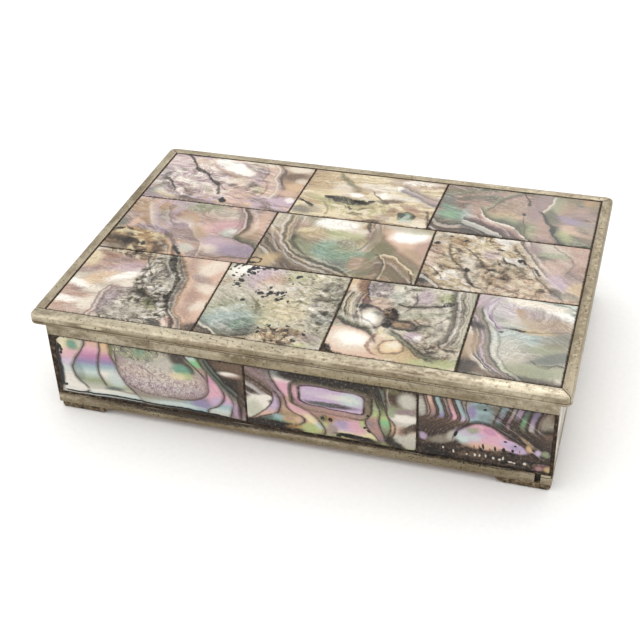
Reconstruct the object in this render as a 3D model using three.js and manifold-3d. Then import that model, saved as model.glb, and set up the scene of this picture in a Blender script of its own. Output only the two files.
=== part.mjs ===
// Shell box: a low rectangular wooden box faced with flat plates of abalone shell
// bedded in black resin, edged and banded with strips of nickel silver. It has four
// corner feet and a lift-off lid whose rebated board drops inside the walls.
// Millimetres, +Z up, front towards -Y, origin at the middle of the footprint.

import * as THREE from 'three';
import { mergeVertices } from 'three/addons/utils/BufferGeometryUtils.js';
import Module from 'manifold-3d';

const wasm = await Module();
wasm.setup();

// ---------------------------------------------------------------- driving dimensions
const LID_WIDTH = 170;
const LID_DEPTH = 119;
const LID_HEIGHT = 3;
const CASE_HEIGHT = 33.5;
const FOOT_HEIGHT = 2.5;
const OVERHANG = 3.5;

// The facing on the walls: metal strips above and below, shell plates in resin between.
const FACING = 1.5;
const TOP_BAND = 6.25;
const BOTTOM_BAND = 3.75;
const BAND_EDGE = 0.25;
const SHELL = 1;
const SHELL_EDGE = 0.25;
const JOINT = 0.5;

// The wooden box inside the facing.
const WALL = 4;
const FLOOR = 3.5;

const FOOT_LENGTH = 17;
const FOOT_WIDTH = 4;
const FOOT_INSET = 0.25;
const FOOT_TOE = 5;
const FOOT_HEEL = 1.5;
const FOOT_EDGE = 0.75;

// The lid's metal rim, seen in section, and the seams between its four strips.
const RIM_FLANGE = 1;
const RIM_FACE = 1;
const RIM_ARRIS = 0.75;
const RIM_CORNER = 2.5;
const RIM_BEAD = 0.75;
const RIM_GROOVE = 0.25;
const RIM_SEAM = 0.25;
const RIM_NOTCH = 1;

// The lid's board, whose lower step sits loosely inside the walls.
const BOARD = 1.5;
const STEP = 2;
const STEP_CLEARANCE = 1;

// The front bottom strip is broken near the right corner.
const BREAK_X = 76.25;
const BREAK_RADIUS = 0.75;
const STUB_X = 78;
const STUB_HEIGHT = 2.5;
const SLIVER = 1;

// ---------------------------------------------------------------- derived sizes
const CASE_WIDTH = LID_WIDTH - 2 * OVERHANG;
const CASE_DEPTH = LID_DEPTH - 2 * OVERHANG;
const CARCASS_WIDTH = CASE_WIDTH - 2 * FACING;
const CARCASS_DEPTH = CASE_DEPTH - 2 * FACING;
const INNER_WIDTH = CARCASS_WIDTH - 2 * WALL;
const INNER_DEPTH = CARCASS_DEPTH - 2 * WALL;
const PANEL_TOP = CASE_HEIGHT - TOP_BAND;

// The mosaic field on the lid, seen from above: the rim's front strip is the widest.
const FIELD = { left: -81.5, right: 81.5, front: -55, back: 56 };

// ---------------------------------------------------------------- finishes
const finish = (color, roughness, metalness) =>
  new THREE.MeshStandardMaterial({ color, roughness, metalness });
const NICKEL_SILVER = finish(0xb8ab8c, 0.38, 0.9);
const DARK_BRONZE = finish(0x6e5f44, 0.5, 0.8);
const BLACK_RESIN = finish(0x1d1916, 0.35, 0);
const CEDAR = finish(0x7a4b30, 0.65, 0);
const PEARL = finish(0xcfc3bd, 0.28, 0);
const CREAM = finish(0xc4b393, 0.28, 0);
const GREEN = finish(0x9caa92, 0.28, 0);
const MAUVE = finish(0xb19aa6, 0.28, 0);
const SMOKE = finish(0x8b8480, 0.28, 0);

// ---------------------------------------------------------------- plates and their joints
// Plates are drawn flat in rows, as four-sided outlines between slanting joints. A row
// has the heights of its lower and upper edge at either end; each joint has its place
// on the lower and on the upper edge; a chip has a broken corner's [width, height].
const LID_ROWS = {
  front: {
    lower: [-54.5, -54.5],
    upper: [-15.5, -12.25],
    joints: [[-31.5, -33], [9.5, 8.5], [50.5, 50]],
    chips: { 2: { lowerLeft: [5, 4] }, 3: { lowerLeft: [1, 1.5] } },
    shells: [PEARL, GREEN, PEARL, SMOKE],
  },
  middle: {
    lower: [-15, -11.75],
    upper: [20.75, 22.5],
    joints: [[-28, -28.5], [29, 28.5]],
    chips: {},
    shells: [MAUVE, GREEN, CREAM],
  },
  back: {
    lower: [21.25, 23],
    upper: [55.5, 55.5],
    joints: [[-25, -24.5], [25, 26]],
    chips: {},
    shells: [PEARL, CREAM, MAUVE],
  },
};
const LID_SPAN = { left: FIELD.left + JOINT, right: FIELD.right - JOINT };

const WALLS = {
  front: {
    turn: 0,
    span: { left: -79.75, right: 80.5 },
    joints: [[-15, -15], [40, 40]],
    chips: { 0: { upperLeft: [2.5, 6] }, 1: { lowerRight: [3, 0.75] } },
    shells: [MAUVE, SMOKE, SMOKE],
  },
  right: {
    turn: Math.PI / 2,
    span: { left: -54, right: 54 },
    joints: [[9, 8]],
    chips: {},
    shells: [PEARL, SMOKE],
  },
  back: {
    turn: Math.PI,
    span: { left: -80.5, right: 80.5 },
    joints: [[-24, -24.5], [33.5, 34]],
    chips: { 2: { upperRight: [1.5, 2.5] } },
    shells: [GREEN, MAUVE, SMOKE],
  },
  left: {
    turn: -Math.PI / 2,
    span: { left: -54, right: 54 },
    joints: [[-5, -5.5]],
    chips: { 0: { lowerLeft: [2, 1.5] } },
    shells: [SMOKE, GREEN],
  },
};
const WALL_ROW = {
  lower: [BOTTOM_BAND + 0.75, BOTTOM_BAND + 0.5],
  upper: [PANEL_TOP - 0.25, PANEL_TOP - 0.25],
};

// ---------------------------------------------------------------- solids
function toSolid(geometry) {
  const bare = geometry.clone();
  bare.deleteAttribute('normal');
  bare.deleteAttribute('uv');
  const merged = mergeVertices(bare, 1e-5);
  return new wasm.Manifold(new wasm.Mesh({
    numProp: 3,
    vertProperties: merged.attributes.position.array,
    triVerts: new Uint32Array(merged.index.array),
  }));
}

function toGeometry(solid) {
  const mesh = solid.getMesh();
  const geometry = new THREE.BufferGeometry();
  geometry.setAttribute('position', new THREE.BufferAttribute(mesh.vertProperties, 3));
  geometry.setIndex(new THREE.BufferAttribute(mesh.triVerts, 1));
  const faceted = geometry.toNonIndexed();
  faceted.computeVertexNormals();
  return faceted;
}

// A block between two opposite corners.
function block(low, high) {
  const size = high.map((value, axis) => value - low[axis]);
  const geometry = new THREE.BoxGeometry(...size);
  geometry.translate(...low.map((value, axis) => value + size[axis] / 2));
  return geometry;
}

// An outline in the XY plane raised between two heights.
function raised(shape, low, high, curveSegments = 4) {
  const geometry = new THREE.ExtrudeGeometry(shape, {
    depth: high - low,
    bevelEnabled: false,
    curveSegments,
  });
  return geometry.translate(0, 0, low);
}

// The same, with the long edges at both heights eased inwards.
function eased(shape, low, high, edge, bevelSegments, curveSegments = 4) {
  const geometry = new THREE.ExtrudeGeometry(shape, {
    depth: high - low - 2 * edge,
    bevelThickness: edge,
    bevelSize: edge,
    bevelOffset: -edge,
    bevelSegments,
    curveSegments,
  });
  return geometry.translate(0, 0, low + edge);
}

const outline = (points) => new THREE.Shape(points.map(([x, y]) => new THREE.Vector2(x, y)));

function roundedRectangle(width, depth, radius) {
  const [x, y] = [width / 2 - radius, depth / 2 - radius];
  const shape = new THREE.Shape();
  shape.absarc(x, y, radius, 0, Math.PI / 2);
  shape.absarc(-x, y, radius, Math.PI / 2, Math.PI);
  shape.absarc(-x, -y, radius, Math.PI, 1.5 * Math.PI);
  shape.absarc(x, -y, radius, 1.5 * Math.PI, 2 * Math.PI);
  return shape;
}

// A turn given by where it takes the X, Y and Z directions.
const turnTo = (x, y, z) => new THREE.Matrix4().makeBasis(
  new THREE.Vector3(...x),
  new THREE.Vector3(...y),
  new THREE.Vector3(...z),
);
const STAND_UP = turnTo([1, 0, 0], [0, 0, 1], [0, -1, 0]);
const LIE_ALONG = turnTo([0, -1, 0], [0, 0, 1], [-1, 0, 0]);
const QUARTER_TURN = turnTo([0, 1, 0], [-1, 0, 0], [0, 0, 1]);

function part(name, geometry, material) {
  const mesh = new THREE.Mesh(geometry, material);
  mesh.name = name;
  return mesh;
}

// ---------------------------------------------------------------- shell mosaic
const toQuarter = (value) => Math.round(value * 4) / 4;

// The outlines of one row's plates, from left to right.
function plateOutlines({ left, right, lower, upper, joints, chips }) {
  const height = (edge, x) => edge[0] + (edge[1] - edge[0]) * (x - left) / (right - left);
  const ends = [[left, left], ...joints, [right, right]];
  const half = JOINT / 2;
  return ends.slice(1).map((end, index) => {
    const gapBefore = index === 0 ? 0 : half;
    const gapAfter = index === joints.length ? 0 : half;
    const [lowerLeft, upperLeft] = ends[index].map((x) => x + gapBefore);
    const [lowerRight, upperRight] = end.map((x) => x - gapAfter);
    const corners = {
      lowerLeft: [lowerLeft, height(lower, lowerLeft)],
      lowerRight: [lowerRight, height(lower, lowerRight)],
      upperRight: [upperRight, height(upper, upperRight)],
      upperLeft: [upperLeft, height(upper, upperLeft)],
    };
    return chippedOutline(corners, chips[index] ?? {});
  });
}

// An outline through four corners, any chipped one cut back in two short facets.
function chippedOutline(corners, chips) {
  const inwards = {
    lowerLeft: [1, 1],
    lowerRight: [-1, 1],
    upperRight: [-1, -1],
    upperLeft: [1, -1],
  };
  return Object.entries(corners).flatMap(([name, [x, y]]) => {
    if (!chips[name]) {
      return [[toQuarter(x), toQuarter(y)]];
    }
    const [dx, dy] = chips[name].map((size, axis) => size * inwards[name][axis]);
    const facets = [
      [toQuarter(x), toQuarter(y + dy)],
      [toQuarter(x + dx / 4), toQuarter(y + dy / 4)],
      [toQuarter(x + dx), toQuarter(y)],
    ];
    return dx * dy > 0 ? facets : facets.reverse();
  });
}

// A plate standing on the height given, its upper edge eased.
function shellPlate(points, base) {
  const plate = eased(outline(points), base - SHELL, base + SHELL, SHELL_EDGE, 1);
  const above = block([-LID_WIDTH, -LID_WIDTH, base], [LID_WIDTH, LID_WIDTH, base + SHELL]);
  return toGeometry(toSolid(plate).intersect(toSolid(above)));
}

// A bed of resin with a pocket for each plate.
function pocketed(bed, plates, base) {
  return toGeometry(plates.reduce(
    (rest, points) => rest.subtract(toSolid(raised(outline(points), base, base + SHELL))),
    bed,
  ));
}

// ---------------------------------------------------------------- the case
function carcass() {
  const [x, y] = [CARCASS_WIDTH / 2, CARCASS_DEPTH / 2];
  const [innerX, innerY] = [INNER_WIDTH / 2, INNER_DEPTH / 2];
  const outside = block([-x, -y, 0], [x, y, CASE_HEIGHT]);
  const hollow = block([-innerX, -innerY, FLOOR], [innerX, innerY, CASE_HEIGHT + FLOOR]);
  return toGeometry(toSolid(outside).subtract(toSolid(hollow)));
}

// A metal strip along a wall with its two outer edges eased.
function band(from, to, low, high) {
  const section = outline([
    [0, low],
    [FACING - BAND_EDGE, low],
    [FACING, low + BAND_EDGE],
    [FACING, high - BAND_EDGE],
    [FACING - BAND_EDGE, high],
    [0, high],
  ]);
  return raised(section, from, to).applyMatrix4(LIE_ALONG).translate(from + to, 0, 0);
}

// The long piece of the broken strip, its free end worn round.
function brokenBand(from, to, low, high) {
  const r = BREAK_RADIUS;
  const face = new THREE.Shape();
  face.moveTo(from, high);
  face.lineTo(from, low);
  face.absarc(to - r, low + r, r, -Math.PI / 2, 0);
  face.absarc(to - r, high - r, r, 0, Math.PI / 2);
  const cutter = raised(face, -FACING, 2 * FACING).applyMatrix4(STAND_UP);
  return toGeometry(toSolid(band(from, to, low, high)).intersect(toSolid(cutter)));
}

function frontBottomBand(half) {
  const long = brokenBand(-half, BREAK_X, 0, BOTTOM_BAND);
  const stub = band(STUB_X, half, 0, STUB_HEIGHT);
  const sliver = band(STUB_X, half - JOINT, BOTTOM_BAND - SLIVER, BOTTOM_BAND);
  return [
    part('bottom_band_front', long, NICKEL_SILVER),
    part('bottom_band_stub', stub, NICKEL_SILVER),
    part('bottom_band_sliver', sliver, NICKEL_SILVER),
  ];
}

// The facing of one wall, in a group turned to it: X along the wall, -Y outwards. The
// front and back facings run the full width; those of the sides fit between them.
function wallFacing(name, { turn, span, joints, chips, shells }) {
  const acrossFront = name === 'front' || name === 'back';
  const half = (acrossFront ? CASE_WIDTH : CARCASS_DEPTH) / 2;
  const skin = new THREE.Group();
  skin.position.y = -(acrossFront ? CARCASS_DEPTH : CARCASS_WIDTH) / 2;
  skin.add(part(`top_band_${name}`, band(-half, half, PANEL_TOP, CASE_HEIGHT), NICKEL_SILVER));
  const bottomBand = name === 'front'
    ? frontBottomBand(half)
    : [part(`bottom_band_${name}`, band(-half, half, 0, BOTTOM_BAND), NICKEL_SILVER)];
  skin.add(...bottomBand);

  const plates = plateOutlines({ ...span, ...WALL_ROW, joints, chips });
  const slab = block([-half, BOTTOM_BAND, 0], [half, PANEL_TOP, FACING - SHELL_EDGE]);
  const bed = pocketed(toSolid(slab), plates, FACING - SHELL).applyMatrix4(STAND_UP);
  skin.add(part(`resin_${name}`, bed, BLACK_RESIN));
  plates.forEach((points, index) => {
    const plate = shellPlate(points, FACING - SHELL).applyMatrix4(STAND_UP);
    skin.add(part(`shell_${name}_${index + 1}`, plate, shells[index]));
  });

  const wall = new THREE.Group();
  wall.rotation.z = turn;
  wall.add(skin);
  return wall;
}

function shellCase() {
  const group = new THREE.Group();
  group.position.z = FOOT_HEIGHT;
  group.add(part('case_carcass', carcass(), CEDAR));
  for (const [name, wall] of Object.entries(WALLS)) {
    group.add(wallFacing(name, wall));
  }
  return group;
}

// ---------------------------------------------------------------- the feet
// The space that a toe sweeps up from, at the end of an arm along X.
function toeCut() {
  const start = FOOT_LENGTH - FOOT_TOE;
  const sweep = new THREE.Shape();
  sweep.moveTo(start, -1);
  sweep.absellipse(start, FOOT_HEIGHT, FOOT_TOE, FOOT_HEIGHT, -Math.PI / 2, 0);
  sweep.lineTo(FOOT_LENGTH + 1, FOOT_HEIGHT);
  sweep.lineTo(FOOT_LENGTH + 1, -1);
  return raised(sweep, -FOOT_WIDTH - 1, 1, 8).applyMatrix4(STAND_UP);
}

// A low L-shaped bracket for a corner at the origin: its heel and lower edges are
// rounded and both its toes sweep up to the case.
function foot() {
  const plan = new THREE.Shape();
  plan.moveTo(FOOT_LENGTH, 0);
  plan.lineTo(FOOT_LENGTH, FOOT_WIDTH);
  plan.lineTo(FOOT_WIDTH, FOOT_WIDTH);
  plan.lineTo(FOOT_WIDTH, FOOT_LENGTH);
  plan.lineTo(0, FOOT_LENGTH);
  plan.absarc(FOOT_HEEL, FOOT_HEEL, FOOT_HEEL, Math.PI, 1.5 * Math.PI);
  const bracket = eased(plan, 0, 2 * FOOT_HEIGHT, FOOT_EDGE, 3);
  const layer = block([-1, -1, 0], [FOOT_LENGTH + 1, FOOT_LENGTH + 1, FOOT_HEIGHT]);
  const toe = toeCut();
  const otherToe = toeCut().applyMatrix4(QUARTER_TURN).translate(FOOT_WIDTH, 0, 0);
  return toGeometry(
    toSolid(bracket).intersect(toSolid(layer)).subtract(toSolid(toe)).subtract(toSolid(otherToe)),
  );
}

function feet() {
  const group = new THREE.Group();
  const [x, y] = [CASE_WIDTH / 2 - FOOT_INSET, CASE_DEPTH / 2 - FOOT_INSET];
  const corners = {
    front_left: [-x, -y, 0],
    front_right: [x, -y, Math.PI / 2],
    back_right: [x, y, Math.PI],
    back_left: [-x, y, -Math.PI / 2],
  };
  for (const [name, [footX, footY, turn]] of Object.entries(corners)) {
    const mesh = part(`foot_${name}`, foot(), DARK_BRONZE);
    mesh.position.set(footX, footY, 0);
    mesh.rotation.z = turn;
    group.add(mesh);
  }
  return group;
}

// ---------------------------------------------------------------- the lid
// The whole edging before it is parted into strips: a flange round the mosaic, a
// rounded arris, and a face with a fine groove above its lower bead.
function lidEdging() {
  const [x, y] = [LID_WIDTH / 2, LID_DEPTH / 2];
  const plan = roundedRectangle(LID_WIDTH, LID_DEPTH, RIM_CORNER);
  const corePlan = roundedRectangle(
    LID_WIDTH - 2 * RIM_GROOVE,
    LID_DEPTH - 2 * RIM_GROOVE,
    RIM_CORNER - RIM_GROOVE,
  );
  const envelope = eased(plan, -LID_HEIGHT, LID_HEIGHT, RIM_ARRIS, 3);
  const above = block([-x, -y, 0], [x, y, LID_HEIGHT]);
  const grooveLayer = block([-x, -y, RIM_BEAD], [x, y, RIM_BEAD + RIM_GROOVE]);
  const groove = toSolid(grooveLayer).subtract(toSolid(raised(corePlan, 0, LID_HEIGHT)));
  const inside = block(
    [RIM_FACE - x, RIM_FACE - y, -1],
    [x - RIM_FACE, y - RIM_FACE, LID_HEIGHT - RIM_FLANGE],
  );
  const field = block(
    [FIELD.left, FIELD.front, 0],
    [FIELD.right, FIELD.back, LID_HEIGHT + 1],
  );
  return toSolid(envelope)
    .intersect(toSolid(above))
    .subtract(groove)
    .subtract(toSolid(inside))
    .subtract(toSolid(field));
}

// Four strips: mitred at three corners, while the left one butts on the front one and
// leaves a notch that widens outwards.
function lidRims() {
  const edging = lidEdging();
  const { left, right, front, back } = FIELD;
  const [x, y] = [LID_WIDTH / 2, LID_DEPTH / 2];
  const beyond = (innerX, innerY) => [
    2 * Math.sign(innerX) * x - innerX,
    2 * Math.sign(innerY) * y - innerY,
  ];
  const lifted = ([pointX, pointY], by) => [pointX, pointY + by];
  const backLeft = [left, back];
  const backRight = [right, back];
  const frontRight = [right, front];
  const strips = {
    front: [[-2 * x, front], [-2 * x, -2 * y], beyond(...frontRight), frontRight],
    right: [
      lifted(frontRight, RIM_SEAM),
      lifted(beyond(...frontRight), RIM_SEAM),
      lifted(beyond(...backRight), -RIM_SEAM),
      lifted(backRight, -RIM_SEAM),
    ],
    back: [backRight, beyond(...backRight), beyond(...backLeft), backLeft],
    left: [
      [left, front + RIM_SEAM],
      lifted(backLeft, -RIM_SEAM),
      lifted(beyond(...backLeft), -RIM_SEAM),
      [-x - 1, front + RIM_NOTCH],
    ],
  };
  return Object.entries(strips).map(([name, points]) => {
    const cutter = toSolid(raised(outline(points), -1, LID_HEIGHT + 1));
    return part(`lid_rim_${name}`, toGeometry(edging.intersect(cutter)), NICKEL_SILVER);
  });
}

// The board fills the rim; its lower step is cut back to drop inside the walls.
function lidBoard() {
  const [x, y] = [LID_WIDTH / 2 - RIM_FACE, LID_DEPTH / 2 - RIM_FACE];
  const [stepX, stepY] = [INNER_WIDTH / 2 - STEP_CLEARANCE, INNER_DEPTH / 2 - STEP_CLEARANCE];
  const top = block([-x, -y, 0], [x, y, BOARD]);
  const step = block([-stepX, -stepY, -STEP], [stepX, stepY, BOARD / 2]);
  return toGeometry(toSolid(top).add(toSolid(step)));
}

// The resin lies on the board, under the flange, and rises between the plates.
function lidBed(plates, base) {
  const [x, y] = [LID_WIDTH / 2 - RIM_FACE, LID_DEPTH / 2 - RIM_FACE];
  const spread = block([-x, -y, BOARD], [x, y, base]);
  const filling = block(
    [FIELD.left, FIELD.front, BOARD],
    [FIELD.right, FIELD.back, LID_HEIGHT - SHELL_EDGE],
  );
  return pocketed(toSolid(spread).add(toSolid(filling)), plates, base);
}

function lid() {
  const group = new THREE.Group();
  group.position.z = FOOT_HEIGHT + CASE_HEIGHT;
  group.add(part('lid_board', lidBoard(), CEDAR));
  group.add(...lidRims());
  const base = LID_HEIGHT - SHELL;
  const allPlates = [];
  for (const [rowName, row] of Object.entries(LID_ROWS)) {
    plateOutlines({ ...LID_SPAN, ...row }).forEach((points, index) => {
      allPlates.push(points);
      const name = `lid_shell_${rowName}_${index + 1}`;
      group.add(part(name, shellPlate(points, base), row.shells[index]));
    });
  }
  group.add(part('lid_resin', lidBed(allPlates, base), BLACK_RESIN));
  return group;
}

// ---------------------------------------------------------------- the box
const shellBox = new THREE.Group();
shellBox.add(feet(), shellCase(), lid());

export default shellBox;
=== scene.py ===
"""Shell box: the finish of a low box faced with abalone shell, nickel silver and resin.

Laid out as an add-on and run as a script. Strokes of a plate's pattern are in millimetres
from the plate's middle; meshes are in metres.
"""
import math
import random
from typing import NamedTuple

import bmesh
import bpy
from mathutils import Matrix, Vector, noise


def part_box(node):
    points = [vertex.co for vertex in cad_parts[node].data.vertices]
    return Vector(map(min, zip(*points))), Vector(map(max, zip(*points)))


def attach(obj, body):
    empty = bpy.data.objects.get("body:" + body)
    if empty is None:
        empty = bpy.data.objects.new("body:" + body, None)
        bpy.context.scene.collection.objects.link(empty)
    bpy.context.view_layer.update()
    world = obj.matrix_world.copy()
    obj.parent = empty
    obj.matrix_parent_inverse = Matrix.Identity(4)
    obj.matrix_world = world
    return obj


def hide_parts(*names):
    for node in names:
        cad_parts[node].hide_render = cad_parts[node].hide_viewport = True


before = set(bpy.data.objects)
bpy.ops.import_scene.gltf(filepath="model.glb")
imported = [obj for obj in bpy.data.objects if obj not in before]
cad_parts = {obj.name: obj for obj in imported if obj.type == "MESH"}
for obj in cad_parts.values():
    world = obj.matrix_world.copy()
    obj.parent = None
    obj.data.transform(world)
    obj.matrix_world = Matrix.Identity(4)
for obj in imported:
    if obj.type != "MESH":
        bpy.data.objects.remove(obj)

bl_info = {
    "name": "Shell Box", "version": (1, 0, 0), "blender": (4, 5, 0),
    "location": "3D View > Sidebar > Shell Box",
    "description": "Dresses the shell box in abalone, nickel silver, resin and cedar",
    "category": "Object",
}

MM = 0.001

# The colours of the shell, from the darkest to the palest of each kind.
TINTS = {
    "black": "#15110d", "umber": "#3b3128", "brown": "#5d4b3d", "rust": "#8f5f35", "bark": "#7d6856",
    "olive": "#84805a", "moss": "#666b4f", "sage": "#a3ab8d", "green": "#93c795", "lime": "#bcc48d",
    "teal": "#7ca893", "slate": "#78827b", "sky": "#a9bec0", "ice": "#ccd6d1", "violet": "#a093b3",
    "mauve": "#a28d8f", "lilac": "#cbb6cc", "plum": "#86606a", "magenta": "#c48fae", "pink": "#dfb2be",
    "rose": "#ba998c", "blush": "#dbbba7", "peach": "#e3c39c", "tan": "#b29878", "gold": "#b8935a",
    "sand": "#ccb486", "cream": "#e8dcb6", "ash": "#a49b8b", "silver": "#ccc7ba", "pearl": "#ebe4d9",
    "white": "#ffffff",
}


# ------------------------------------------------------------------ colours and nodes
def linear(colour):
    """An sRGB hex colour as linear RGBA."""
    channels = [int(colour[at:at + 2], 16) / 255 for at in (1, 3, 5)]
    flat = [c / 12.92 if c <= 0.04045 else ((c + 0.055) / 1.055) ** 2.4 for c in channels]
    return (*flat, 1.0)


def tint(name, alpha=1.0):
    """A shell colour by its name, as the sidebar has it, with an alpha for a ramp."""
    return (*getattr(bpy.context.scene.shell_box_tints, name)[:3], alpha)


def add(tree, kind, sockets=None, stops=(), curve=(), **settings):
    """Adds a node with its settings, and sets or links the sockets given by name or place.

    A node given for a socket stands for its first output, and a hex string for a colour.
    stops are a ramp's (place, colour) pairs and curve a float curve's points.
    """
    node = tree.nodes.new("ShaderNode" + kind)
    for name, value in settings.items():
        setattr(node, name, value)
    for key, value in (sockets or {}).items():
        socket = node.inputs[key] if isinstance(key, int) else next(
            s for s in node.inputs if s.enabled and s.name == key
        )
        if isinstance(value, bpy.types.Node):
            value = next(s for s in value.outputs if s.enabled)
        if isinstance(value, bpy.types.NodeSocket):
            tree.links.new(value, socket)
        else:
            socket.default_value = linear(value) if isinstance(value, str) else value
    if stops:
        elements = node.color_ramp.elements
        while len(elements) < len(stops):
            elements.new(1.0)
        for element, (place, colour) in zip(elements, stops):
            element.position = place
            element.color = linear(colour) if isinstance(colour, str) else colour
    if curve:
        points = node.mapping.curves[0].points
        for _ in curve[2:]:
            points.new(0.5, 0.5)
        for point, place in zip(points, curve):
            point.location = place
        node.mapping.update()
    return node


def blank(name):
    """A material with an empty node tree."""
    material = bpy.data.materials.new(name)
    material.use_nodes = True
    material.node_tree.nodes.clear()
    return material


def shade(tree, sockets):
    """Ends a material in one principled shader with the sockets given."""
    shader = add(tree, "BsdfPrincipled", sockets)
    add(tree, "OutputMaterial", {"Surface": shader})


def even(places, colours):
    """Ramp stops at the places given."""
    return list(zip(places, colours))


# ------------------------------------------------------------------ strokes of a plate
SPAN = 100  # mm of shell that the whole pattern map takes in


def smooth(t):
    """0 to 1 with a soft start and end."""
    t = min(max(t, 0.0), 1.0)
    return t * t * (3 - 2 * t)


class Spot(NamedTuple):
    """A soft-edged oval of one colour, which may stand proud or lie low."""

    x: float
    y: float
    rx: float
    ry: float
    colour: str
    alpha: float = 0.8
    turn: float = 0.0
    soft: float = 1.0
    rise: float = 0.0

    def lift(self, u, v):
        """How far it lifts the shell at a place, in mm."""
        return self.rise * oval_cover(self, u, v) if self.rise else 0.0


class Grit(NamedTuple):
    """A patch of rugged, broken shell, in colours from its hollows to its crests: its own chalky colours,
    with painted shade in the dark hollows and painted glints on the pale crests.
    """

    x: float
    y: float
    rx: float
    ry: float
    colours: tuple
    turn: float = 0.0
    alpha: float = 1.0
    soft: float = 0.5
    pitch: float = 1.6
    rise: float = 0.22
    drawn: float = 1.4

    def lift(self, u, v):
        """How far it lowers the shell at a place, in mm."""
        cover = oval_cover(self, u, v)
        if cover <= 0:
            return 0.0
        crag = noise.fractal(Vector((u, v, 3.7 * self.pitch)) / self.pitch, 0.7, 2.2, 3)
        return cover * self.rise * min(crag * 0.75 - 0.35, 0.25)


class Edge(NamedTuple):
    """A growth edge: colours at distances across a line, with finer lines beside it.

    bands are (distance, colour, alpha), and the last ones go on to the plate's edge.
    lines are (from, to, spacing, strength). fill is (along, colour), and covers the whole
    of one side of the line, the side of greater distances unless side is -1.
    """

    points: tuple
    bands: tuple
    run: str = "v"
    lines: tuple = ()
    fade: float = 1.5
    step: float = 0.0
    fill: tuple = ()
    side: int = 1

    def lift(self, u, v):
        """How far it lifts the shell beyond its line, in mm."""
        if not self.step:
            return 0.0
        along, across = (v, u) if self.run == "v" else (u, v)
        points = self.course()
        window = min(along - points[0][0], points[-1][0] - along) / 3 + 1
        if window <= 0:
            return 0.0
        for (a, p), (b, q) in zip(points, points[1:]):
            if along <= b:
                break
        mid = p + (q - p) * min(max((along - a) / (b - a), 0), 1)
        return self.step * smooth((across - mid) / 1.6 + 0.5) * smooth(window)

    def course(self):
        """Its points as (along, across) in order."""
        pairs = [(v, u) if self.run == "v" else (u, v) for u, v in self.points]
        return sorted(pairs)


class Ring(NamedTuple):
    """A growth edge that closes: an oval, or boxier as square nears 1."""

    x: float
    y: float
    rx: float
    ry: float
    bands: tuple
    turn: float = 0.0
    square: float = 0.0
    lines: tuple = ()
    rise: float = 0.0
    soft: float = 0.5

    def lift(self, u, v):
        """How far it lifts the shell inside it, in mm."""
        return self.rise * oval_cover(self, u, v) if self.rise else 0.0


class Ground(NamedTuple):
    """The broad swirl of colour that everything else is painted on."""

    colours: tuple
    turn: float = 0.0
    scale: float = 13.0
    stretch: float = 2.2
    # How strong the streaks along the swirl are: painted sheen, pale and dark, the satin glow of nacre.
    streaks: float = 0.35
    grain: float = 0.7
    lines: float = 0.4
    shake: float = 0.9


def oval_cover(stroke, u, v):
    """How much of an oval stroke is at a place, from 0 to 1."""
    turn = math.radians(stroke.turn)
    du, dv = u - stroke.x, v - stroke.y
    across = (du * math.cos(turn) + dv * math.sin(turn)) / stroke.rx
    up = (dv * math.cos(turn) - du * math.sin(turn)) / stroke.ry
    return smooth((1 + stroke.soft / 2 - math.hypot(across, up)) / max(stroke.soft, 0.01))


def terrace(points, fill=(), side=1, run="v", fade=1.0, width=1.0):
    """The dark lip of a layer of shell, and the colours along the layer beyond it."""
    bands = (
        (-1.1 * width, "bark", 0.0), (-0.3 * width, "brown", 0.55), (0.0, "umber", 0.95),
        (0.26 * width, "brown", 0.6), (1.0 * width, "mauve", 0.0),
    )
    return Edge(points, bands, run, (), fade, 0.0, fill, side)


def pits(*places, colour="black", alpha=0.95):
    """Small crisp holes, each (x, y, rx, ry) and a turn where it has one."""
    return tuple(Spot(*at[:4], colour, alpha, *at[4:] or (0,), 0.5) for at in places)


def crack(points, width=0.5, colour="black", run="v", alpha=1.0, fade=1.0, step=0.0):
    """A thin line along points."""
    bands = (
        (-width, colour, 0.0), (-width / 3, colour, alpha), (width / 3, colour, alpha),
        (width, colour, 0.0),
    )
    return Edge(points, bands, run, (), fade, step)


# ------------------------------------------------------------------ painting a plate
FALL = 3  # how many radii out from an oval's middle its strokes can reach


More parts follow.
